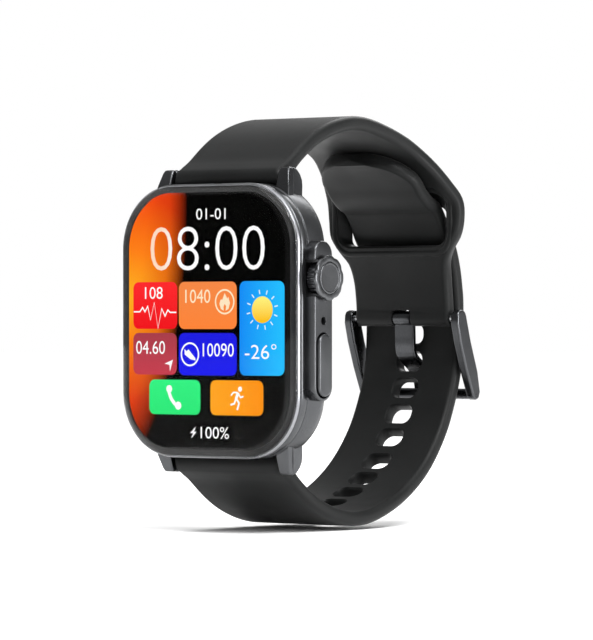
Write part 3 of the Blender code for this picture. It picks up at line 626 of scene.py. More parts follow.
@dataclass
class Case:
    """Case middle with its rim, crown guard and lugs, the lens, the cover and the sensor window."""

    half_x: float = 18.4
    half_z: float = 22.2
    corner: float = 10.5
    front: float = -10.05
    back: float = -2.4
    lens_front: float = -12.1
    lens_back: float = -11.06
    guard_y: float = -6.75
    guard_depth: float = 2.35
    guard_length: float = 12.8
    guard_face: float = 20.3
    crown_z: float = 6.85
    button_z: float = -7.1
    bar_y: float = -5.0
    bar_z: float = 23.3
    lug_in: float = 11.2
    lug_out: float = 14.3
    lug_taper: float = 1.2
    # Wall inset, the ellipse that it rolls in to the cover by, and the ledges inside it.
    wall: float = 0.05
    roll: tuple = (2.45, 2.6)
    ledge: tuple = (-3.4, -4.5, -9.3)
    channel_radius: float = 2.1
    crown_bore: float = 2.0
    sound_slots: tuple = (-4.5, 0.0, 4.5)
    button_sink: float = 1.7
    mesh_radius: float = 0.55
    # How far in and how far back the lens edge falls away, and the power of inset that it follows.
    lens_edge: tuple = (2.5, 0.95, 2.6)
    pin_at: tuple = (3.0, -14.6)
    screw_inset: float = 3.65

    def size(self, inset: float = 0.0) -> tuple:
        """Half width, half height and corner radius of the case outline, less an inset."""
        return (self.half_x - inset, self.half_z - inset, self.corner - inset)

    def middle(self) -> None:
        """Case middle: a closed section of (inset, y) corners carried round the outline, with eased edges."""
        f, b, w = self.front, self.back, self.wall
        high, low, deep = self.ledge
        t = np.linspace(0, 1, 9)[:, None] * math.pi / 2
        roll = np.hstack([w + self.roll[0] * (1 - np.cos(t)), b - self.roll[1] * (1 - np.sin(t))])
        section = np.vstack([
            [(0.45, f), (0.15, f + 0.2), (w, f + 0.45), (w, f + 1.5), (0.25, f + 1.58), (0.25, f + 1.74),
             (w, f + 1.82)], roll,
            [(2.5, high), (4.8, high), (4.8, low), (1.65, low), (1.65, deep), (1.4, deep), (1.4, f)],
        ])
        ring = bevelled(band_ring("case_middle", self.size(), section), 0.08)
        channel = [turned(f"channel_{s}", straight(-self.lug_in, self.lug_in, self.channel_radius),
                          (self.bar_y, s * self.bar_z), SIDE, 48) for s in (-1, 1)]
        bore = turned("bore", straight(16.0, 19.5, self.crown_bore), (self.guard_y, self.crown_z),
                      SIDE, 40)
        ports = [plate(f"port_{z}", (0.5, 1.6, 0.5), (self.guard_y, z), straight(-20.0, -16.0),
                       SIDE, 6) for z in self.sound_slots]
        cut(ring, [*channel, bore, *ports])
        attach(GUNMETAL.dress(ring), "case", "gunmetal", "mid_frame")

    def guard(self) -> None:
        """Crown guard: a pill plate with rounded edges, notched for the crown and sunk for the button."""
        y, face, past = self.guard_y, self.guard_face, 22.0
        # Where the chamfer round each opening starts and ends.
        start, end = face - 0.15, face + 0.05
        guard = plate("crown_guard", (self.guard_depth, self.guard_length, self.guard_depth), (y, 0.0),
                      soft_edge(self.half_x - 0.9, face, 0.3), SIDE, 12)
        notch = plate("notch", (5.0, 2.95, 0.3), (y, self.crown_z), straight(self.half_x + 0.06, past),
                      SIDE, 4)
        deep = face - self.button_sink
        pocket = plate("pocket", (1.78, 5.18, 1.78), (y, self.button_z),
                       np.array([(0.12, deep), (0.0, deep + 0.1), (0.0, start), (-0.18, end), (-0.18, past)]),
                       SIDE, 12)
        port = turned("port", [(0.6, 18.6), (0.6, start), (0.72, end), (0.72, past)], (y, 0.0), SIDE, 28)
        cut(guard, [notch, pocket, port])
        attach(GUNMETAL.dress(guard), "case", "gunmetal")
        mesh = turned("microphone_mesh", straight(18.7, 19.5, self.mesh_radius), (y, 0.0), SIDE, 24)
        attach(SEAL.dress(mesh), "case", "seal_rubber")

    def lugs(self) -> None:
        """Four lugs: a raked front face, a rounded end and a rear lobe, with a stepped outer side."""
        tip = self.bar_z + 1.5
        y, z = self.bar_y, self.bar_z
        outline = np.array([
            (y - 2.4, z - 5.2), (y - 1.6, z - 1.3), (y - 1.0, tip - 1.0), (y - 0.8, tip - 0.35),
            (y - 0.4, tip), (y + 0.2, tip), (y + 0.9, tip - 0.3), (y + 1.45, tip - 1.1),
            (y + 1.65, tip - 2.1), (y + 1.5, tip - 3.1), (y + 0.9, z - 3.3), (y + 0.6, z - 5.2),
        ])
        prong = np.array([
            (y - 3.3, z - 5.2), (y - 2.6, z - 1.3), (y - 1.9, tip - 0.65), (y - 1.55, tip - 0.1),
            (y - 1.0, tip), (y - 0.55, tip - 0.45), (y - 0.9, tip - 2.2), (y - 1.9, z - 5.2),
        ])
        for sx, side in ((-1, "left"), (1, "right")):
            for sz, end in ((-1, "lower"), (1, "upper")):
                for name, shape, inner, step, edge in (
                    ("lug", outline, self.lug_in + 0.02, 0.4, 0.35),
                    ("lug_rib", prong, self.lug_in, 0.0, 0.25),
                ):
                    reach = np.clip((shape[:, 1] - (z - 4.2)) / (tip - z + 4.2), 0, 1)
                    outer = self.lug_out - step - self.lug_taper * reach**1.6
                    ends = (np.full(len(shape), sx * inner), sx * outer)
                    piece = prism(f"{name}_{end}_{side}", shape * np.array([1, sz]), *ends, SIDE)
                    attach(GUNMETAL.dress(bevelled(piece, edge)), "case", "gunmetal")

    def rim(self) -> None:
        """Bright rim under the lens: a chamfered section carried round the outline."""
        section = [(0.5, -10.93), (0.16, -10.78), (0.0, -10.5), (0.0, -10.32), (0.12, -10.24), (1.4, -10.24),
                   (1.4, -10.93)]
        ring = band_ring("lens_rim", self.size(), section)
        attach(RIM_STEEL.dress(bevelled(ring, 0.05, 2)), "case", "bezel", "front_bezel")

    def lens(self) -> None:
        """Lens: flat in the middle, its edge falling away as inset^2.6, over a black printed border."""
        run, drop, power = self.lens_edge
        back, seat = self.lens_back, self.lens_back + 0.07
        t = np.linspace(1, 0, 15)
        edge = np.column_stack([0.2 + run * (1 - t), self.lens_front + drop * t**power])
        profile = np.vstack([[(2.3, back), (2.0, back), (0.5, seat), (0.26, seat), (0.2, back)], edge])
        inset = profile[:, 0]
        outline = rounded(self.half_x - inset, self.half_z - inset, self.corner - inset, 24)
        lens = loft("lens", placed(outline, profile[:, 1][:, None], FRONT), sharp=50)
        # The flat middle has an anti-reflection coat, and the polished edge mirrors more.
        lens.data.materials.append(lens_glass("aluminosilicate_glass_coated", 1.12))
        lens.data.materials.append(lens_glass("aluminosilicate_glass_polished_edge", 1.33))
        facing = np.empty(len(lens.data.polygons) * 3, np.float32)
        lens.data.polygons.foreach_get("normal", facing)
        edge_faces = (np.abs(facing.reshape(-1, 3)[:, 1]) < 0.985).astype(np.int32)
        lens.data.polygons.foreach_set("material_index", edge_faces)
        attach(lens, "case", "lens_glass", "glass_lens")
        ink = [(0.5, -10.985), (0.5, -10.955), (1.5, -10.955), (1.5, -10.985)]
        border = band_ring("lens_border_print", self.size(), ink)
        attach(LENS_INK.dress(border), "case", "lens_glass", "lens_adhesive")

    def cover(self) -> None:
        """Back cover with a rounded edge, pierced for contacts and screws, and the sensor window on it."""
        cover = plate("back_shell", self.size(2.6), (0, 0), soft_edge(-2.8, -1.2, 0.7, 6), FRONT, 24)
        x, z = self.pin_at
        pins = [turned(f"pin_hole_{s}", [(1.0, -3.2), (1.0, -1.35), (1.2, -1.1)], (s * x, z),
                       FRONT, 32) for s in (-1, 1)]
        reach = (self.corner - self.screw_inset) * math.sqrt(0.5)
        x, z = self.half_x - self.corner + reach, self.half_z - self.corner + reach
        wells = [turned(f"well_{sx}_{sz}", [(0.9, -1.9), (0.9, -1.3), (1.1, -1.1)], (sx * x, sz * z),
                        FRONT, 32) for sx in (-1, 1) for sz in (-1, 1)]
        cut(cover, [*pins, *wells])
        attach(COVER.dress(cover), "case", "moulded_cover", "back_cover")
        t = np.linspace(0, 1, 9)
        rim = np.column_stack([12.0 - 1.0 * t**2, -1.15 + 1.14 * np.sin(t * math.pi / 2)])
        window = turned("sensor_lens", np.vstack([[(9.8, -2.8), (9.8, -1.15)], rim, [(10.6, 0.0)]]), (0, 0),
                        FRONT, 128)
        attach(SENSOR_GLOSS.dress(window), "case", "sensor_glass", "sensor_window")
        trim = turned("sensor_ring", [(8.3, -0.02), (8.3, 0.02), (8.0, 0.02), (8.0, -0.02)], (0, 0),
                      FRONT, 96)
        attach(STEEL.dress(trim), "case", "sensor_glass")
        for i, angle in enumerate(np.arange(4) * math.pi / 2 + math.pi / 4):
            at = (5.4 * math.cos(angle), 5.4 * math.sin(angle))
            eye = plate(f"photodiode_{i + 1}", (1.5, 1.0, 0.3), at, soft_edge(-0.02, 0.04, 0.02),
                        FRONT, 5)
            attach(DIODE.dress(eye), "case", "sensor_glass")
        for i, at in enumerate(((-1.3, 0.0), (1.3, 0.0))):
            led = turned(f"led_window_{i + 1}", [(0.9, -0.02), (0.9, 0.03), (0.7, 0.05), (0.02, 0.06)], at,
                         FRONT, 36)
            attach(LED_LENS.dress(led), "case", "sensor_glass")

    def build(self) -> None:
        """Builds every piece of the case."""
        self.middle()
        self.guard()
        self.lugs()
        self.rim()
        self.lens()
        self.cover()


# ---- crown and button


@dataclass
class Crown:
    """Fluted barrel, scalloped flange and dished face, all turned about an axis along X."""

    y: float = -6.75
    z: float = 6.85
    barrel: float = 2.65
    flange: float = 3.65
    start: float = 18.75
    flange_in: float = 20.95
    face: float = 21.6
    flutes: int = 20
    flute_depth: float = 0.18
    lobes: int = 8
    lobe_depth: float = 0.2
    # Radius at which each piece's end closes on the axis.
    core: float = 0.3

    def build(self) -> None:
        """Builds the crown: flutes are radius - depth (1 - cos(20 v)) / 2, lobes the same with 8."""
        at, c = (self.y, self.z), self.core
        r, low, high = self.barrel, self.start, self.flange_in
        barrel = [(c, low), (r - 0.35, low), (r - 0.1, low + 0.1), (r, low + 0.35), (r, high - 0.25),
                  (r - 0.2, high), (c, high)]
        knob = turned("crown_barrel", barrel, at, SIDE, self.flutes * 12, self.flutes,
                      self.flute_depth, 2)
        attach(GUNMETAL.dress(knob), "crown", "gunmetal", "crown_knob")
        r, f, hub = self.flange, self.face, self.barrel
        rim = [(c, high), (r - 0.5, high), (r - 0.12, high + 0.06), (r, high + 0.2), (r, f - 0.26),
               (r - 0.1, f - 0.08), (r - 0.32, f), (hub + 0.12, f), (hub, f - 0.05), (hub - 0.04, f - 0.2),
               (c, f - 0.2)]
        flange = turned("crown_flange", rim, at, SIDE, self.lobes * 30, self.lobes, self.lobe_depth, 3)
        attach(GUNMETAL.dress(flange), "crown", "gunmetal", "crown_cap")
        r = hub - 0.12
        disc = [(c, f - 0.19), (r, f - 0.19), (r, f - 0.04), (r - 0.06, f + 0.03), (r - 0.2, f + 0.06),
                (r - 0.3, f + 0.03), (r - 0.36, f - 0.03), (r * 0.6, f - 0.06), (0.02, f - 0.07)]
        inset = turned("crown_disc", disc, at, SIDE, 96)
        attach(GUNMETAL.dress(inset), "crown", "bezel", "crown_face")


@dataclass
class SideButton:
    """Pill button: flat face with a round edge, in the guard's pocket."""

    y: float = -6.75
    z: float = -7.1
    half_y: float = 1.6
    half_z: float = 5.0
    inner: float = 19.1
    face: float = 20.75

    def build(self) -> None:
        """Builds the button from pills whose inset follows a quarter circle at the face."""
        size = (self.half_y, self.half_z, self.half_y)
        profile = soft_edge(self.inner, self.face, 0.32, 6)
        button = plate("button_key", size, (self.y, self.z), profile, SIDE, 16)
        attach(GUNMETAL.dress(button), "side_button", "gunmetal", "button_cap")


# ---- the band


def smooth_path(points: list, step: float) -> tuple[np.ndarray, np.ndarray]:
    """Catmull-Rom curve through rows of values, read at equal steps of its length.

    Args:
        points: rows that start with y and z.
        step: distance between the points returned.

    Returns:
        The rows along the curve, and the distance of each from the start.
    """
    rows = np.array(points, dtype=float)
    rows = np.vstack([2 * rows[0] - rows[1], rows, 2 * rows[-1] - rows[-2]])
    t = np.linspace(0, 1, 33)[:-1, None, None]
    a, b, c, d = (rows[i:len(rows) - 3 + i][None] for i in range(4))
    fine = 0.5 * (2 * b + (c - a) * t + (2 * a - 5 * b + 4 * c - d) * t**2 + (3 * b - a - 3 * c + d) * t**3)
    fine = np.vstack([fine.transpose(1, 0, 2).reshape(-1, rows.shape[1]), rows[-2:-1]])
    along = np.r_[0, np.cumsum(np.linalg.norm(np.diff(fine[:, :2], axis=0), axis=1))]
    wanted = np.linspace(0, along[-1], max(2, round(along[-1] / step) + 1))
    return np.column_stack([np.interp(wanted, along, column) for column in fine.T]), wanted


def side_of(path: np.ndarray) -> np.ndarray:
    """Unit normals of a path: its direction (y, z) turned to (-z, y).

    Args:
        path: rows that start with y and z.

    Returns:
        A row of y and z for each row of the path.
    """
    way = np.gradient(path[:, :2], axis=0)
    way /= np.linalg.norm(way, axis=1)[:, None]
    return np.column_stack([-way[:, 1], way[:, 0]])


def strip(name: str, path: np.ndarray, thick: np.ndarray, edge: float, steps: int = 6) -> Obj:
    """Strip along a path: each ring is a rounded rectangle across x and the path's normal.

    Args:
        name: the piece's name.
        path: rows of y, z and half width.
        thick: thickness at each row.
        edge: radius of its edges.
        steps: points less one in each corner.

    Returns:
        The new object.
    """
    normal = side_of(path)
    half = thick / 2
    radius = np.minimum(edge, np.minimum(half, path[:, 2]) * 0.98)
    ring = rounded(path[:, 2], half, radius, steps)
    x = ring[..., 0]
    y = path[:, None, 0] + normal[:, None, 0] * ring[..., 1]
    z = path[:, None, 1] + normal[:, None, 1] * ring[..., 1]
    return loft(name, np.stack([x, y, z], axis=-1), sharp=60)


def eased(path: np.ndarray, depth: float, sigma: float = 3.0) -> np.ndarray:
    """Evens a strap's curve over its crest: a Gaussian average of y and z that fades out by the tail.

    Args:
        path: rows of y, z and half width.
        depth: the loop's depth, of which the first half is evened.
        sigma: spread of the weights along the strap.

    Returns:
        The new path.
    """
    step = float(np.linalg.norm(path[1, :2] - path[0, :2]))
    reach = int(3 * sigma / step)
    weights = np.exp(-0.5 * (np.arange(-reach, reach + 1) * step / sigma) ** 2)
    count = np.arange(1, reach + 1)[:, None]
    before = path[0, :2] + count[::-1] * (path[0, :2] - path[1, :2])
    after = path[-1, :2] + count * (path[-1, :2] - path[-2, :2])
    padded = np.vstack([before, path[:, :2], after])
    even = np.column_stack([np.convolve(column, weights / weights.sum(), "valid") for column in padded.T])
    place = (path[:, 0] / depth)[:, None]
    share = np.clip((0.58 - place) / 0.14, 0, 1) * np.clip(place / 0.1 + 1.0, 0, 1)
    return np.column_stack([path[:, :2] + share * (even - path[:, :2]), path[:, 2]])


@dataclass
class Band:
    """Both straps. The lower one lies outside the upper one, goes in at its slot and ends inside it."""

    bar_y: float = -5.0
    bar_z: float = 23.3
    depth: float = 49.0
    thick: float = 2.4
    edge: float = 0.95
    barrel: float = 1.8
    gap: float = 0.5
    slot_z: float = 17.6
    slot_long: float = 9.6
    slot_half: float = 11.3
    hole_half: float = 2.6
    hole_long: float = 3.3
    pitch: float = 5.0
    first_hole: float = -7.55
    end_half: float = 10.0
    # Distance between the rings of a strap.
    spacing: float = 0.7
    # Corner radius and flare of the slot and of a hole.
    slot_corner: float = 2.2
    slot_flare: float = 0.35
    slot_shelf: float = 1.2
    slot_lean: float = 3.2
    hole_corner: float = 1.4
    hole_flare: float = 0.22
    # The buckle end's thickness over the bar, and the radius that closes it.
    eye_thick: float = 2.65
    nose: float = 1.36
    bar_hole: float = 0.9
    buckle_hole: float = 0.8
    # Shares of the depth and of the bar's height, and the half width there.
    upper: tuple = (
        (0.0, 1.0, 11.0), (0.133, 1.232, 11.0), (0.255, 1.348, 11.0), (0.4, 1.41, 11.0),
        (0.52, 1.37, 11.0), (0.632, 1.303, 11.0), (0.72, 1.222, 11.2), (0.795, 1.105, 12.2),
        (0.85, 0.98, 13.3), (0.89, 0.865, 14.1), (0.898, 0.74, 14.1), (0.894, 0.62, 13.6),
        (0.9, 0.525, 12.1), (0.918, 0.43, 10.6), (0.935, 0.3, 10.1), (0.945, 0.15, 10.0),
        (0.949, 0.02, 10.0),
    )
    lower: tuple = (
        (0.0, -1.0, 11.0), (0.133, -1.232, 11.0), (0.255, -1.348, 11.0), (0.4, -1.41, 11.0),
        (0.53, -1.365, 10.8), (0.67, -1.25, 10.5), (0.8, -1.065, 10.3), (0.9, -0.82, 10.1),
        (0.96, -0.57, 10.0), (0.993, -0.35, 10.0), (1.004, -0.15, 10.0),
    )

    def points(self, shares: tuple) -> list:
        """Turns shares to millimetres."""
        return [(self.bar_y + y * self.depth, z * self.bar_z, half) for y, z, half in shares]

    def tail_points(self) -> list:
        """Points of the lower strap along the upper one: an offset that blends from outside to inside."""
        under, passed = smooth_path(self.points(self.upper)[::-1], 0.4)
        # The offset crosses over smoothly (3 s^2 - 2 s^3), its middle at the slot.
        slot = passed[np.argmax(under[:, 1] > self.slot_z)]
        share = np.clip((passed - slot) / (1.35 * self.slot_long) + 0.5, 0, 1)
        blend = share * share * (3 - 2 * share)
        reach = self.thick + self.gap
        line = under[:, :2] - side_of(under) * (reach * (1 - 2 * blend))[:, None]
        last = int(np.argmax(under[:, 0] < self.bar_y + 0.62 * self.depth))
        return [(*line[i], self.end_half) for i in range(0, last, 6) if under[i, 1] > 0.03 * self.bar_z]

    def with_barrel(self, path: np.ndarray, along: np.ndarray) -> tuple[np.ndarray, np.ndarray]:
        """Adds the round end about the spring bar, where half thickness = sqrt(r^2 - distance^2).

        Args:
            path: rows of y, z and half width.
            along: distance of each row from the bar.

        Returns:
            The longer path and its thickness.
        """
        before = self.barrel * np.sin(np.linspace(-1.53, -0.12, 10))
        way = path[1, :2] - path[0, :2]
        way /= np.linalg.norm(way)
        start = np.column_stack([path[0, :2] + before[:, None] * way, np.full(len(before), path[0, 2])])
        place = np.r_[before, along]
        ball = 2 * np.sqrt(np.maximum(self.barrel**2 - place**2, 0))
        flat = np.full(len(place), self.thick) * (place > 0)
        neck = self.thick + 1.1 * np.exp(-(place / 2.2) ** 2) * (place > 0)
        return np.vstack([start, path]), np.where(place < 0.9, ball, np.maximum(flat, neck))

    def window(self, name: str, path: np.ndarray, row: int, half_x: float, half_s: float, corner: float,
               flare: float, shelf: float = 0.0, lean: float = 0.0) -> Obj:
        """Cutter through the strap at a row of its path, flared towards both faces.

        Args:
            name: its name.
            path: the strap's path.
            row: the row at its middle.
            half_x: half width.
            half_s: half length along the strap.
            corner: corner radius.
            flare: how far the mouth widens.
            shelf: how much narrower it is on the outer side.
            lean: how far its lug end draws in on the outer side, where the tail slants through.

        Returns:
            The cutter.
        """
        half = self.thick / 2
        depth = np.array([-3.4, -half - 0.05, -half + 0.14, -half + 0.4,
                          half - 0.4, half - 0.14, half + 0.05, 3.4])
        grow = flare * np.array([1.2, 1.0, 0.4, 0, 0, 0.4, 1.0, 1.2])
        outer = depth > 0
        ring = rounded(half_x + grow - shelf * outer, half_s + grow - lean * outer / 2,
                       corner + grow - 0.9 * shelf * outer, 8)
        ring[..., 1] += (lean / 2 * outer)[:, None]
        normal = side_of(path)[row]
        way = np.array([normal[1], -normal[0]])
        y = path[row, 0] + normal[0] * depth[:, None] + way[0] * ring[..., 1]
        z = path[row, 1] + normal[1] * depth[:, None] + way[1] * ring[..., 1]
        return loft(name, np.stack([ring[..., 0], y, z], axis=-1))

    def lip(self, path: np.ndarray, along: np.ndarray, row: int) -> Obj:
        """Raised bead round the slot: a half-round section carried round a rounded rectangle on the strap.

        Args:
            path: the upper strap's path.
            along: distance of each row.
            row: the row at the slot's middle.

        Returns:
            The bead.
        """
        base, wider = (rounded(self.slot_half + out, self.slot_long / 2 + out, self.slot_corner + out, 14)
                       for out in (1.05, 2.05))
        out = wider - base
        v = np.linspace(0, math.tau, 16, endpoint=False)
        spread = base[:, None] + out[:, None] * (0.5 * np.cos(v))[None, :, None]
        place = along[row] + spread[..., 1]
        normal = side_of(path)
        # It narrows with the strap's own edge, and stands prouder at the end next to the lug.
        wide = np.interp(place, along, path[:, 2]) - 0.35
        x = np.clip(spread[..., 0], -wide, wide)
        proud = 0.28 + 0.3 * np.clip(base[:, 1:] / self.slot_long, 0, 0.6)
        lift = self.thick / 2 - 0.2 + proud * np.sin(v)[None, :]
        y = np.interp(place, along, path[:, 0]) - lift * np.interp(place, along, normal[:, 0])
        z = np.interp(place, along, path[:, 1]) - lift * np.interp(place, along, normal[:, 1])
        return loft("slot_bead", np.stack([x, y, z], axis=-1), closed=True, sharp=180)

    def lever_room(self, sz: int) -> Obj:
        """Cutter for the quick-release lever's window, on the wrist side of a strap's lug end."""
        return plate("lever_room", (1.9, 1.35, 0.4), (6.4, sz * (self.bar_z + 0.3)),
                     straight(self.bar_y + 0.3, self.bar_y + 5.0), FRONT, 5)

    def bar_bore(self, sz: int) -> Obj:
        """Cutter for the spring bar's bore."""
        return turned("bar_bore", straight(-14.0, 14.0, self.bar_hole), (self.bar_y, sz * self.bar_z),
                      SIDE, 36)

    def upper_strap(self) -> None:
        """Upper strap: slot and tongue opening cut through, and the buckle end closed with a round nose."""
        path, along = smooth_path(self.points(self.upper), self.spacing)
        path = eased(path, self.depth)
        row = int(np.argmin(np.abs(path[:, 1] - self.slot_z) + 99 * (path[:, 0] < self.depth / 2)))
        bar = path[-1]
        whole, thick = self.with_barrel(path, along)
        over_bar = np.r_[np.zeros(len(thick) - len(along)), along] > along[-1] - 1.0
        extra = 1.35 * np.sin(np.linspace(0.15, 1.5, 8))
        way = path[-1, :2] - path[-2, :2]
        way /= np.linalg.norm(way)
        tip = np.column_stack([bar[:2] + extra[:, None] * way, np.full(8, bar[2])])
        thick = np.r_[np.where(over_bar, self.eye_thick, thick), 2 * np.sqrt(self.nose**2 - extra**2)]
        strap = strip("upper_strap_moulding", np.vstack([whole, tip]), thick, self.edge)
        slot = self.window("slot", path, row, self.slot_half, self.slot_long / 2, self.slot_corner,
                           self.slot_flare, self.slot_shelf, self.slot_lean)
        tongue_room = plate("tongue_room", (2.0, 1.8, 0.5), (0.0, bar[1] - 0.42),
                            straight(bar[0] - 4, bar[0] + 4), FRONT, 6)
        bore = turned("bore", straight(-14.0, 14.0, self.buckle_hole), (bar[0], bar[1]), SIDE, 32)
        cut(strap, [slot, tongue_room, bore, self.lever_room(1), self.bar_bore(1)])
        attach(SILICONE.dress(strap), "upper_band", "silicone", "upper_strap")
        attach(SILICONE.dress(self.lip(path, along, row)), "upper_band", "silicone")

    def lower_strap(self) -> None:
        """Lower strap: ten holes, and a tail with a rounded and thinned end."""
        path, along = smooth_path(self.points(self.lower) + self.tail_points(), self.spacing)
        first_half = along < along[-1] / 2
        path = np.where(first_half[:, None], eased(path, self.depth), path)
        near = np.clip((along[-1] - along) / (0.55 * 2 * self.end_half), 0.0, 1)
        path[:, 2] = np.minimum(path[:, 2], path[:, 2] * np.sqrt(1 - (1 - near) ** 2) + 0.6)
        whole, thick = self.with_barrel(path, along)
        end = np.clip((np.max(along) - np.r_[np.zeros(len(thick) - len(along)), along]) / 1.2, 0, 1)
        thick = thick * np.where(end < 1, 0.35 + 0.65 * np.sqrt(1 - (1 - end) ** 2), 1)
        strap = strip("lower_strap_moulding", whole, thick, self.edge)
        back = path[:, 0] > self.depth / 2
        first = along[np.argmax(back & (path[:, 1] > self.first_hole))]
        holes = []
        for i in range(-7, 3):
            at = int(np.argmin(np.abs(along - first - i * self.pitch)))
            holes.append(self.window(f"hole_{i + 8}", path, at, self.hole_half, self.hole_long / 2,
                                     self.hole_corner, self.hole_flare))
        cut(strap, [*holes, self.lever_room(-1), self.bar_bore(-1)])
        attach(SILICONE.dress(strap), "lower_band", "silicone", "lower_strap")

    def build(self) -> None:
        """Builds both straps with their openings."""
        self.upper_strap()
        self.lower_strap()


@dataclass
class Buckle:
    """Pin buckle: two slanted arms, the far bar and the tongue, all about the cross bar."""

    y: float = 41.501
    z: float = 0.466
    inner: float = 10.6
    outer: float = 12.2
    far_y: float = 4.1
    far_z: float = -12.9
    far_radius: float = 0.9
    arm_edge: float = 0.32
    tongue_half: float = 2.0
    tongue_thick: float = 0.9
    tongue_edge: float = 0.22
    # The tongue's end narrows over this length.
    tongue_point: float = 0.7

    def build(self) -> None:
        """Builds the frame's arms and bar, and the tongue as a strip along its bent line."""
        y, z = self.y, self.z
        fy, fz = y + self.far_y, z + self.far_z
        arm = np.array([
            (y - 1.25, z + 0.55), (y - 0.9, z + 1.15), (y, z + 1.45), (y + 0.9, z + 1.15),
            (y + 1.25, z + 0.5), (y + 2.6, z - 4.0), (y + 4.5, z - 9.0), (fy + 1.15, fz + 0.3),
            (fy + 0.75, fz - 0.75), (fy, fz - 1.05), (fy - 0.8, fz - 0.65), (fy - 1.1, fz + 0.2),
            (y + 1.1, z - 8.4), (y - 0.5, z - 4.0), (y - 1.35, z - 0.8),
        ])
        for sign, side in ((-1, "left"), (1, "right")):
            low, high = sorted((sign * self.inner, sign * self.outer))
            piece = bevelled(prism(f"buckle_arm_{side}", arm, low, high, SIDE), self.arm_edge)
            nodes = ("buckle_frame",) if sign < 0 else ()
            attach(BUCKLE_STEEL.dress(piece), "buckle_frame", "buckle_metal", *nodes)
        reach = self.inner + 0.6
        rod = turned("buckle_far_bar", straight(-reach, reach, self.far_radius), (fy, fz), SIDE, 48)
        attach(BUCKLE_STEEL.dress(rod), "buckle_frame", "buckle_metal")
        line = [(y, z), (y + 0.1, z - 3.0), (y + 0.2, z - 5.0), (y + 0.8, z - 6.5), (y + 3.55, z - 8.5),
                (y + 4.9, z - 9.9), (y + 5.6, z - 11.6), (y + 5.65, z - 13.2)]
        path, along = smooth_path([(a, b, self.tongue_half) for a, b in line], 0.3)
        left = (along[-1] - along) / self.tongue_point
        path[:, 2] *= np.where(left < 1, 0.72 + 0.28 * np.sqrt(np.clip(1 - (1 - left) ** 2, 0, 1)), 1)
        tongue = strip("tongue_blade", path, np.full(len(path), self.tongue_thick), self.tongue_edge)
        attach(BUCKLE_STEEL.dress(tongue), "buckle_tongue", "buckle_metal", "buckle_tongue")
        half = [(1.25, 1.6), (1.2, 1.75), (1.0, 1.8)]
        eye = turned("tongue_eye", [(r, -x) for r, x in half[::-1]] + half, (y, z), SIDE, 48)
        attach(BUCKLE_STEEL.dress(eye), "buckle_tongue", "buckle_metal")


# ---- the picture on the display


WHITE = Lit("lit_white", "#FFFFFF", "#FFFFFF")
CREAM = Lit("lit_cream", "#FFE2B4", "#FFE9C8")
# Name, lower left corner, upper right corner and colour of each tile.
TILES = (
    ("pulse", (-15.7, -1.3), (-6.3, 6.35), Lit("lit_red", "#F0101A", "#FF2A2E", -2, 7)),
    ("energy", (-5.95, -1.3), (6.2, 6.35), Lit("lit_orange", "#FF8436", "#F58A48", -2, 7)),
    ("weather", (6.8, -8.75), (16.0, 6.4), Lit("lit_sky", "#148CF6", "#22BEFF", 6.5, 15, 0)),
    ("distance", (-15.7, -8.75), (-6.4, -1.95), Lit("lit_crimson", "#C63B4C", "#A83E4A", -9, -2)),
    ("steps", (-5.95, -8.8), (6.2, -1.95), Lit("lit_blue", "#1414F0", "#1D1DE0", -9, -2)),
    ("call", (-12.25, -15.2), (-1.4, -9.55), Lit("lit_green", "#28E878", "#31F283", -15, -9)),
    ("sport", (0.7, -15.2), (11.7, -9.55), Lit("lit_amber", "#FFA51A", "#FF920A", 1, 12, 0)),
)
# Name, figures, lower left corner, upper right corner, swelling of the strokes and colour.
FIGURES = (
    ("date", "01-01", (-2.3, 16.4), (3.9, 18.2), 0.0, WHITE),
    ("time", "08:00", (-12.0, 8.2), (12.0, 15.3), -0.014,
     Lit("lit_time", "#FFDDC2", "#FFFFFF", -10, -6.5, 0)),
    ("pulse", "108", (-13.2, 3.6), (-9.4, 5.55), 0.0, WHITE),
    ("energy", "1040", (-4.6, 2.9), (0.7, 5.1), 0.0, CREAM),
    ("distance", "04.60", (-15.1, -5.4), (-8.9, -3.25), 0.0, WHITE),
    ("steps", "10090", (-0.9, -5.75), (5.6, -3.6), 0.0, WHITE),
    ("weather", "-26°", (7.9, -6.1), (14.4, -3.7), -0.004, WHITE),
    ("charge", "100%", (-1.35, -19.0), (4.6, -17.1), 0.0, WHITE),
)
# Outlines of the filled icons, and the line and its width of the drawn ones.
FLAME = ((3.7, 4.5), (4.25, 3.6), (4.45, 3.9), (4.8, 2.9), (4.5, 1.95), (3.9, 1.65), (4.0, 2.4),
         (3.7, 2.75), (3.45, 2.3), (3.5, 1.65), (2.9, 1.95), (2.6, 2.8), (2.9, 3.5), (3.2, 3.4))
ARROW = ((-7.2, -6.3), (-9.0, -6.95), (-7.95, -7.15), (-7.85, -8.2))
SHOE = ((-4.75, -4.55), (-4.3, -4.9), (-3.9, -4.6), (-2.5, -6.0), (-2.4, -6.4), (-3.5, -6.2), (-4.7, -5.45))
BOLT = ((-2.35, -17.1), (-3.55, -18.15), (-2.95, -18.2), (-3.35, -19.05), (-2.2, -17.95), (-2.75, -17.9))
PULSE = ((-15.6, 1.5), (-14.3, 1.5), (-13.7, 2.2), (-13.2, 1.5), (-12.6, 2.4), (-12.0, 0.2),
         (-11.2, 3.0), (-10.4, -1.2), (-9.6, 2.0), (-8.9, 0.8), (-8.3, 1.8), (-7.8, 1.4), (-6.5, 1.4))
HANDSET = ((-8.05, -10.9), (-8.0, -11.7), (-7.6, -12.6), (-6.9, -13.4), (-6.1, -13.9))
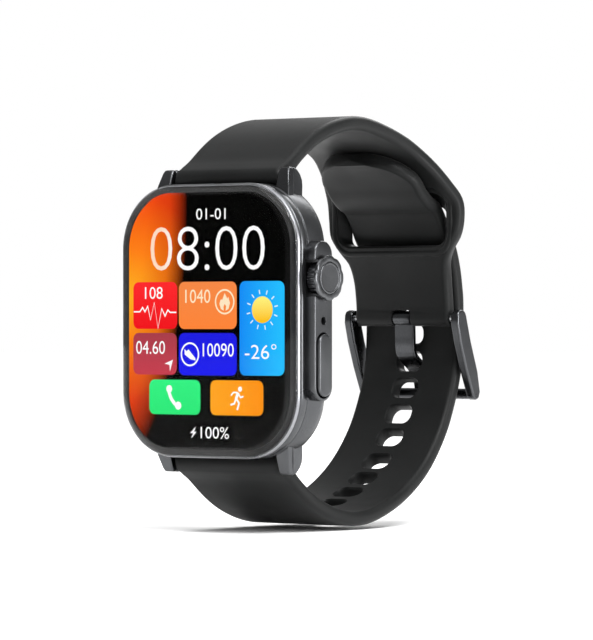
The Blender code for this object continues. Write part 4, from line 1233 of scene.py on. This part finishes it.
RUNNER = (
    ("body", ((6.5, -11.5), (6.05, -12.6)), 0.55),
    ("arm_front", ((6.5, -11.6), (7.0, -12.3), (7.6, -12.1)), 0.26),
    ("arm_back", ((6.4, -11.5), (5.5, -11.5), (5.0, -12.0)), 0.26),
    ("leg_front", ((6.1, -12.5), (6.7, -13.2), (6.3, -14.3)), 0.34),
    ("leg_back", ((6.0, -12.6), (5.7, -13.3), (4.9, -13.5)), 0.32),
)


@dataclass
class Screen:
    """Lit picture on the display: a warm glow at the left, the time and tiles of readings."""

    face: float = -10.96
    layer: float = 0.012
    thin: float = 0.004
    # The picture sits this far off the lens's middle.
    shift: float = -0.24
    line: float = 0.28
    sun: tuple = (11.5, 1.8)
    sun_radius: float = 2.15
    rays: int = 12

    def slab(self, name: str, outline: np.ndarray, colour: Lit = WHITE, level: int = 2) -> None:
        """Thin closed slab of light on a layer of the picture.

        Args:
            name: the piece's name.
            outline: points of x and z.
            colour: its colour.
            level: which layer, counted from the panel.
        """
        front = self.face - level * self.layer
        piece = prism(name, np.asarray(outline) + np.array([self.shift, 0.0]), front, front + self.thin,
                      FRONT)
        attach(colour.dress(piece), "case", "display")

    def stroke(self, name: str, points: tuple, width: float, colour: Lit = WHITE) -> None:
        """Line of even width through points, mitred at its corners: point +- mitre normal x width / 2.

        Args:
            name: the piece's name.
            points: rows of x and z.
            width: the line's width.
            colour: its colour.
        """
        line = np.array(points, dtype=float)
        way = np.diff(line, axis=0)
        way /= np.linalg.norm(way, axis=1)[:, None]
        normal = np.column_stack([-way[:, 1], way[:, 0]])
        joint = np.vstack([normal[:1], normal[:-1] + normal[1:], normal[-1:]])
        joint /= np.maximum(np.sum(joint * np.vstack([normal[:1], normal]), axis=1), 0.45)[:, None]
        self.slab(name, np.vstack([line + joint * width / 2, (line - joint * width / 2)[::-1]]), colour)

    def disc(self, name: str, centre: tuple, radius: float, colour: Lit = WHITE) -> None:
        """Round dot of light."""
        turn = np.column_stack([np.cos(around(40)), np.sin(around(40))])
        self.slab(name, np.array(centre) + radius * turn, colour)

    def hoop(self, name: str, centre: tuple, radius: float, colour: Lit = WHITE) -> None:
        """Round line: a flat ring about a centre.

        Args:
            name: the piece's name.
            centre: its middle.
            radius: its outer radius.
            colour: its colour.
        """
        v = around(48)
        front = self.face - 2 * self.layer
        back, within = front + self.thin, radius - self.line
        section = np.array([(radius, front), (radius, back), (within, back), (within, front)])
        x = centre[0] + self.shift + section[:, :1] * np.cos(v)
        outline = np.stack([x, centre[1] + section[:, :1] * np.sin(v)], -1)
        ring = loft(name, placed(outline, section[:, 1][:, None], FRONT), closed=True, sharp=30)
        attach(colour.dress(ring), "case", "display")

    def text(self, name: str, words: str, low: tuple, high: tuple, bold: float, colour: Lit) -> None:
        """Figures, stretched to fill the box between two corners.

        Args:
            name: the piece's name.
            words: what they say.
            low: lower left corner.
            high: upper right corner.
            bold: how much the strokes swell, as a share of the letter size.
            colour: their colour.
        """
        curve = bpy.data.curves.new(name, "FONT")
        curve.body = words
        curve.extrude = 0.02
        curve.offset = bold
        curve.resolution_u = 4
        guide = linked(name, curve)
        graph = bpy.context.evaluated_depsgraph_get()
        mesh = bpy.data.meshes.new_from_object(guide.evaluated_get(graph))
        bpy.data.objects.remove(guide)
        flat = np.empty(len(mesh.vertices) * 3, np.float32)
        mesh.vertices.foreach_get("co", flat)
        flat = flat.reshape(-1, 3)
        start, end = flat.min(axis=0), flat.max(axis=0)
        share = (flat - start) / (end - start)
        x = self.shift + low[0] + share[:, 0] * (high[0] - low[0])
        z = low[1] + share[:, 1] * (high[1] - low[1])
        y = self.face - 2 * self.layer + (1 - share[:, 2]) * self.thin
        mesh.vertices.foreach_set("co", (np.column_stack([x, y, z]) * MM).astype(np.float32).reshape(-1))
        work = bmesh.new()
        work.from_mesh(mesh)
        bmesh.ops.remove_doubles(work, verts=work.verts, dist=1e-8)
        work.to_mesh(mesh)
        work.free()
        attach(colour.dress(linked(name, mesh)), "case", "display")

    def glow(self) -> None:
        """Warm glow: amber at the left edge, through orange to red, fading to black past a curved front."""
        mat, tree, shader = new_material("lit_warm_glow")
        set_sockets(shader, UNLIT)
        place = add_node(tree, "TexCoord").outputs["Object"]
        layers = []
        # Each layer runs over the distance from a point, from start to end.
        for offset, scale, start, end, stops in (
            ((16.5, 0.0, -4.0), (1.0, 0.0, 1.0), 0.0, 17.0,
             ((0.0, "#FFB020"), (0.45, "#FF7F14"), (1.0, "#F2430C"))),
            ((23.0, 0.0, -8.0), (1.0, 0.0, 0.4), 10.0, 19.0,
             ((0.0, "#FFFFFF"), (0.55, "#E6E6E6"), (0.95, "#000000"))),
        ):
            middle = add_node(tree, "Mapping",
                              {"Location": tuple(x * MM for x in offset), "Scale": scale},
                              {"Vector": place})
            away = add_node(tree, "VectorMath", {"operation": "LENGTH"}, {0: middle.outputs[0]})
            share = add_node(tree, "MapRange", {"From Min": start * MM, "From Max": end * MM},
                             {"Value": away.outputs["Value"]})
            layers.append(colour_ramp(tree, share.outputs[0], stops).outputs[0])
        lit = add_node(tree, "VectorMath", {"operation": "MULTIPLY"}, {0: layers[0], 1: layers[1]})
        tree.links.new(lit.outputs[0], shader.inputs["Emission Color"])
        outline = rounded(16.85, 20.7, 9.0, 20)
        piece = prism("picture_glow", outline, self.face - self.thin, self.face, FRONT)
        piece.data.materials.append(mat)
        attach(piece, "case", "display")

    def icons(self) -> None:
        """Pulse line, flame, arrow, shoe, handset, runner, bolt and sun."""
        self.stroke("icon_pulse", PULSE, 0.22)
        self.hoop("icon_energy_ring", (3.7, 3.1), 2.05, CREAM)
        self.slab("icon_flame", FLAME, CREAM)
        self.slab("icon_arrow", ARROW)
        self.hoop("icon_steps_ring", (-3.6, -5.4), 1.95)
        self.slab("icon_shoe", SHOE)
        self.stroke("icon_handset", HANDSET, 0.62)
        self.disc("icon_earpiece", (-8.0, -11.05), 0.62)
        self.disc("icon_mouthpiece", (-6.1, -13.75), 0.66)
        self.disc("icon_runner_head", (6.9, -10.95), 0.42)
        for name, line, width in RUNNER:
            self.stroke(f"icon_runner_{name}", line, width)
        self.slab("icon_bolt", BOLT)
        self.disc("icon_sun", self.sun, self.sun_radius, Lit("lit_sun", "#FFC21A", "#FFF27A", 0.0, 3.6))
        for i in range(self.rays):
            v = i / self.rays * math.tau + 0.2
            way = np.array([math.cos(v), math.sin(v)])
            ray = [tuple(np.array(self.sun) + way * r) for r in (2.55, 3.25)]
            self.stroke(f"icon_sun_ray_{i + 1}", ray, 0.2, Lit("lit_ray", "#CFEFFF", "#E8FAFF"))

    def build(self) -> None:
        """Builds the glow, the tiles, the figures and the icons."""
        self.glow()
        for name, low, high, colour in TILES:
            low, high = np.array(low), np.array(high)
            half = (high - low) / 2
            self.slab(f"tile_{name}", rounded(*half, 1.1, 8) + (high + low) / 2, colour, 1)
        for name, *row in FIGURES:
            self.text(f"figures_{name}", *row)
        self.icons()


# ---- set and camera


@dataclass
class Studio:
    """Pale floor, soft lights and the camera. Its lengths are metres."""

    # Strength of the surround where surfaces mirror it: the camera sees it at full strength.
    mirrored: float = 0.3
    floor_radius: float = 4.0
    floor_thick: float = 0.005
    floor_gap: float = 0.0004
    target: tuple = (0, 0.015, 0)
    # Name, place, side and power of each square light.
    areas: tuple = (
        ("key", (0.42, -0.2, 0.5), 0.25, 4.0),
        ("side", (0.55, 0.1, 0.02), 0.22, 2.6),
        ("back", (-0.15, 0.5, 0.4), 0.3, 2.5),
    )
    sun_strength: float = 2.5
    sun_spread: float = 70.0
    sun_tilt: float = 12.0
    eye: tuple = (0.4453, -0.5463, 0.0)
    lens: float = 242.3
    sensor: float = 36.0
    # The view from the crown side, and how far the camera turns off it to frame the watch.
    azimuth: float = 39.5
    aside: float = 0.911

    def hang(self, name: str, data: bpy.types.ID, place: tuple, turn: tuple) -> Obj:
        """Puts a light or camera in the scene.

        Args:
            name: its name.
            data: the light or camera.
            place: where it stands.
            turn: its rotation about X, Y and Z.

        Returns:
            The new object.
        """
        obj = linked(name, data)
        obj.location = place
        obj.rotation_euler = turn
        return obj

    def world(self) -> None:
        """Pale surround: white behind the watch, and dimmer where surfaces mirror it."""
        world = bpy.data.worlds.new("studio")
        world.use_nodes = True
        tree = world.node_tree
        path = add_node(tree, "LightPath")
        level = add_node(tree, "MapRange", {"To Min": self.mirrored, "To Max": 1.0},
                         {"Value": path.outputs["Is Camera Ray"]})
        shade = tree.nodes["Background"]
        shade.inputs["Color"].default_value = linear("#FFFFFF")
        tree.links.new(level.outputs[0], shade.inputs["Strength"])
        bpy.context.scene.world = world

    def floor(self) -> None:
        """Round pale floor, its face just below the model's lowest point."""
        low = (CAD_BOX[0][2] - self.floor_gap) / MM
        v, radius = around(96), self.floor_radius / MM
        ring = np.column_stack([radius * np.cos(v), radius * np.sin(v)])
        rings = np.stack([np.column_stack([ring, np.full(96, z)])
                          for z in (low - self.floor_thick / MM, low)])
        pale = Finish("floor_painted_board", "#FAFAFA", "#FFFFFF", 0.0, 0.9, 8.0, bump_mm=0.02,
                      sockets=(("Specular IOR Level", 0.0),))
        pale.dress(loft("floor", rings))

    def build(self) -> None:
        """Builds the floor, the world, the lights and the camera."""
        self.floor()
        self.world()
        sun = bpy.data.lights.new("overhead", "SUN")
        sun.energy = self.sun_strength
        sun.angle = math.radians(self.sun_spread)
        tilt = math.radians(self.sun_tilt)
        self.hang("overhead", sun, (0, 0, 0), (tilt, tilt, 0.0))
        for name, place, size, power in self.areas:
            light = bpy.data.lights.new(name, "AREA")
            light.size = size
            light.energy = power
            way = Vector(self.target) - Vector(place)
            self.hang(name, light, place, way.to_track_quat("-Z", "Y").to_euler())
        camera = bpy.data.cameras.new("camera")
        camera.lens = self.lens
        camera.sensor_width = self.sensor
        camera.clip_start = 0.01
        turn = (math.radians(90.013), 0.0, math.radians(self.azimuth - self.aside))
        bpy.context.scene.camera = self.hang("camera", camera, self.eye, turn)
        # Keeps the picture's colours as saturated as the display's own.
        bpy.context.scene.view_settings.view_transform = "Standard"


def dress_nodes() -> None:
    """Gives every carried-over node the finish of its slot in the record."""
    for part in frame["record"]["subparts"]:
        node = frame["nodes"].get(part["node"])
        if node is None:
            continue
        finish = SLOT_FINISH[part["material_slot"]].material()
        if not node.material_slots:
            node.data.materials.append(finish)
        for slot in node.material_slots:
            slot.material = finish


def main() -> None:
    """Builds the set, dresses the nodes and builds each sub-assembly in order."""
    logging.basicConfig(level=logging.INFO, format="%(name)s: %(message)s")
    Studio().build()
    dress_nodes()
    Case().build()
    Screen().build()
    Crown().build()
    SideButton().build()
    Band().build()
    Buckle().build()


if __name__ == "__main__":
    main()
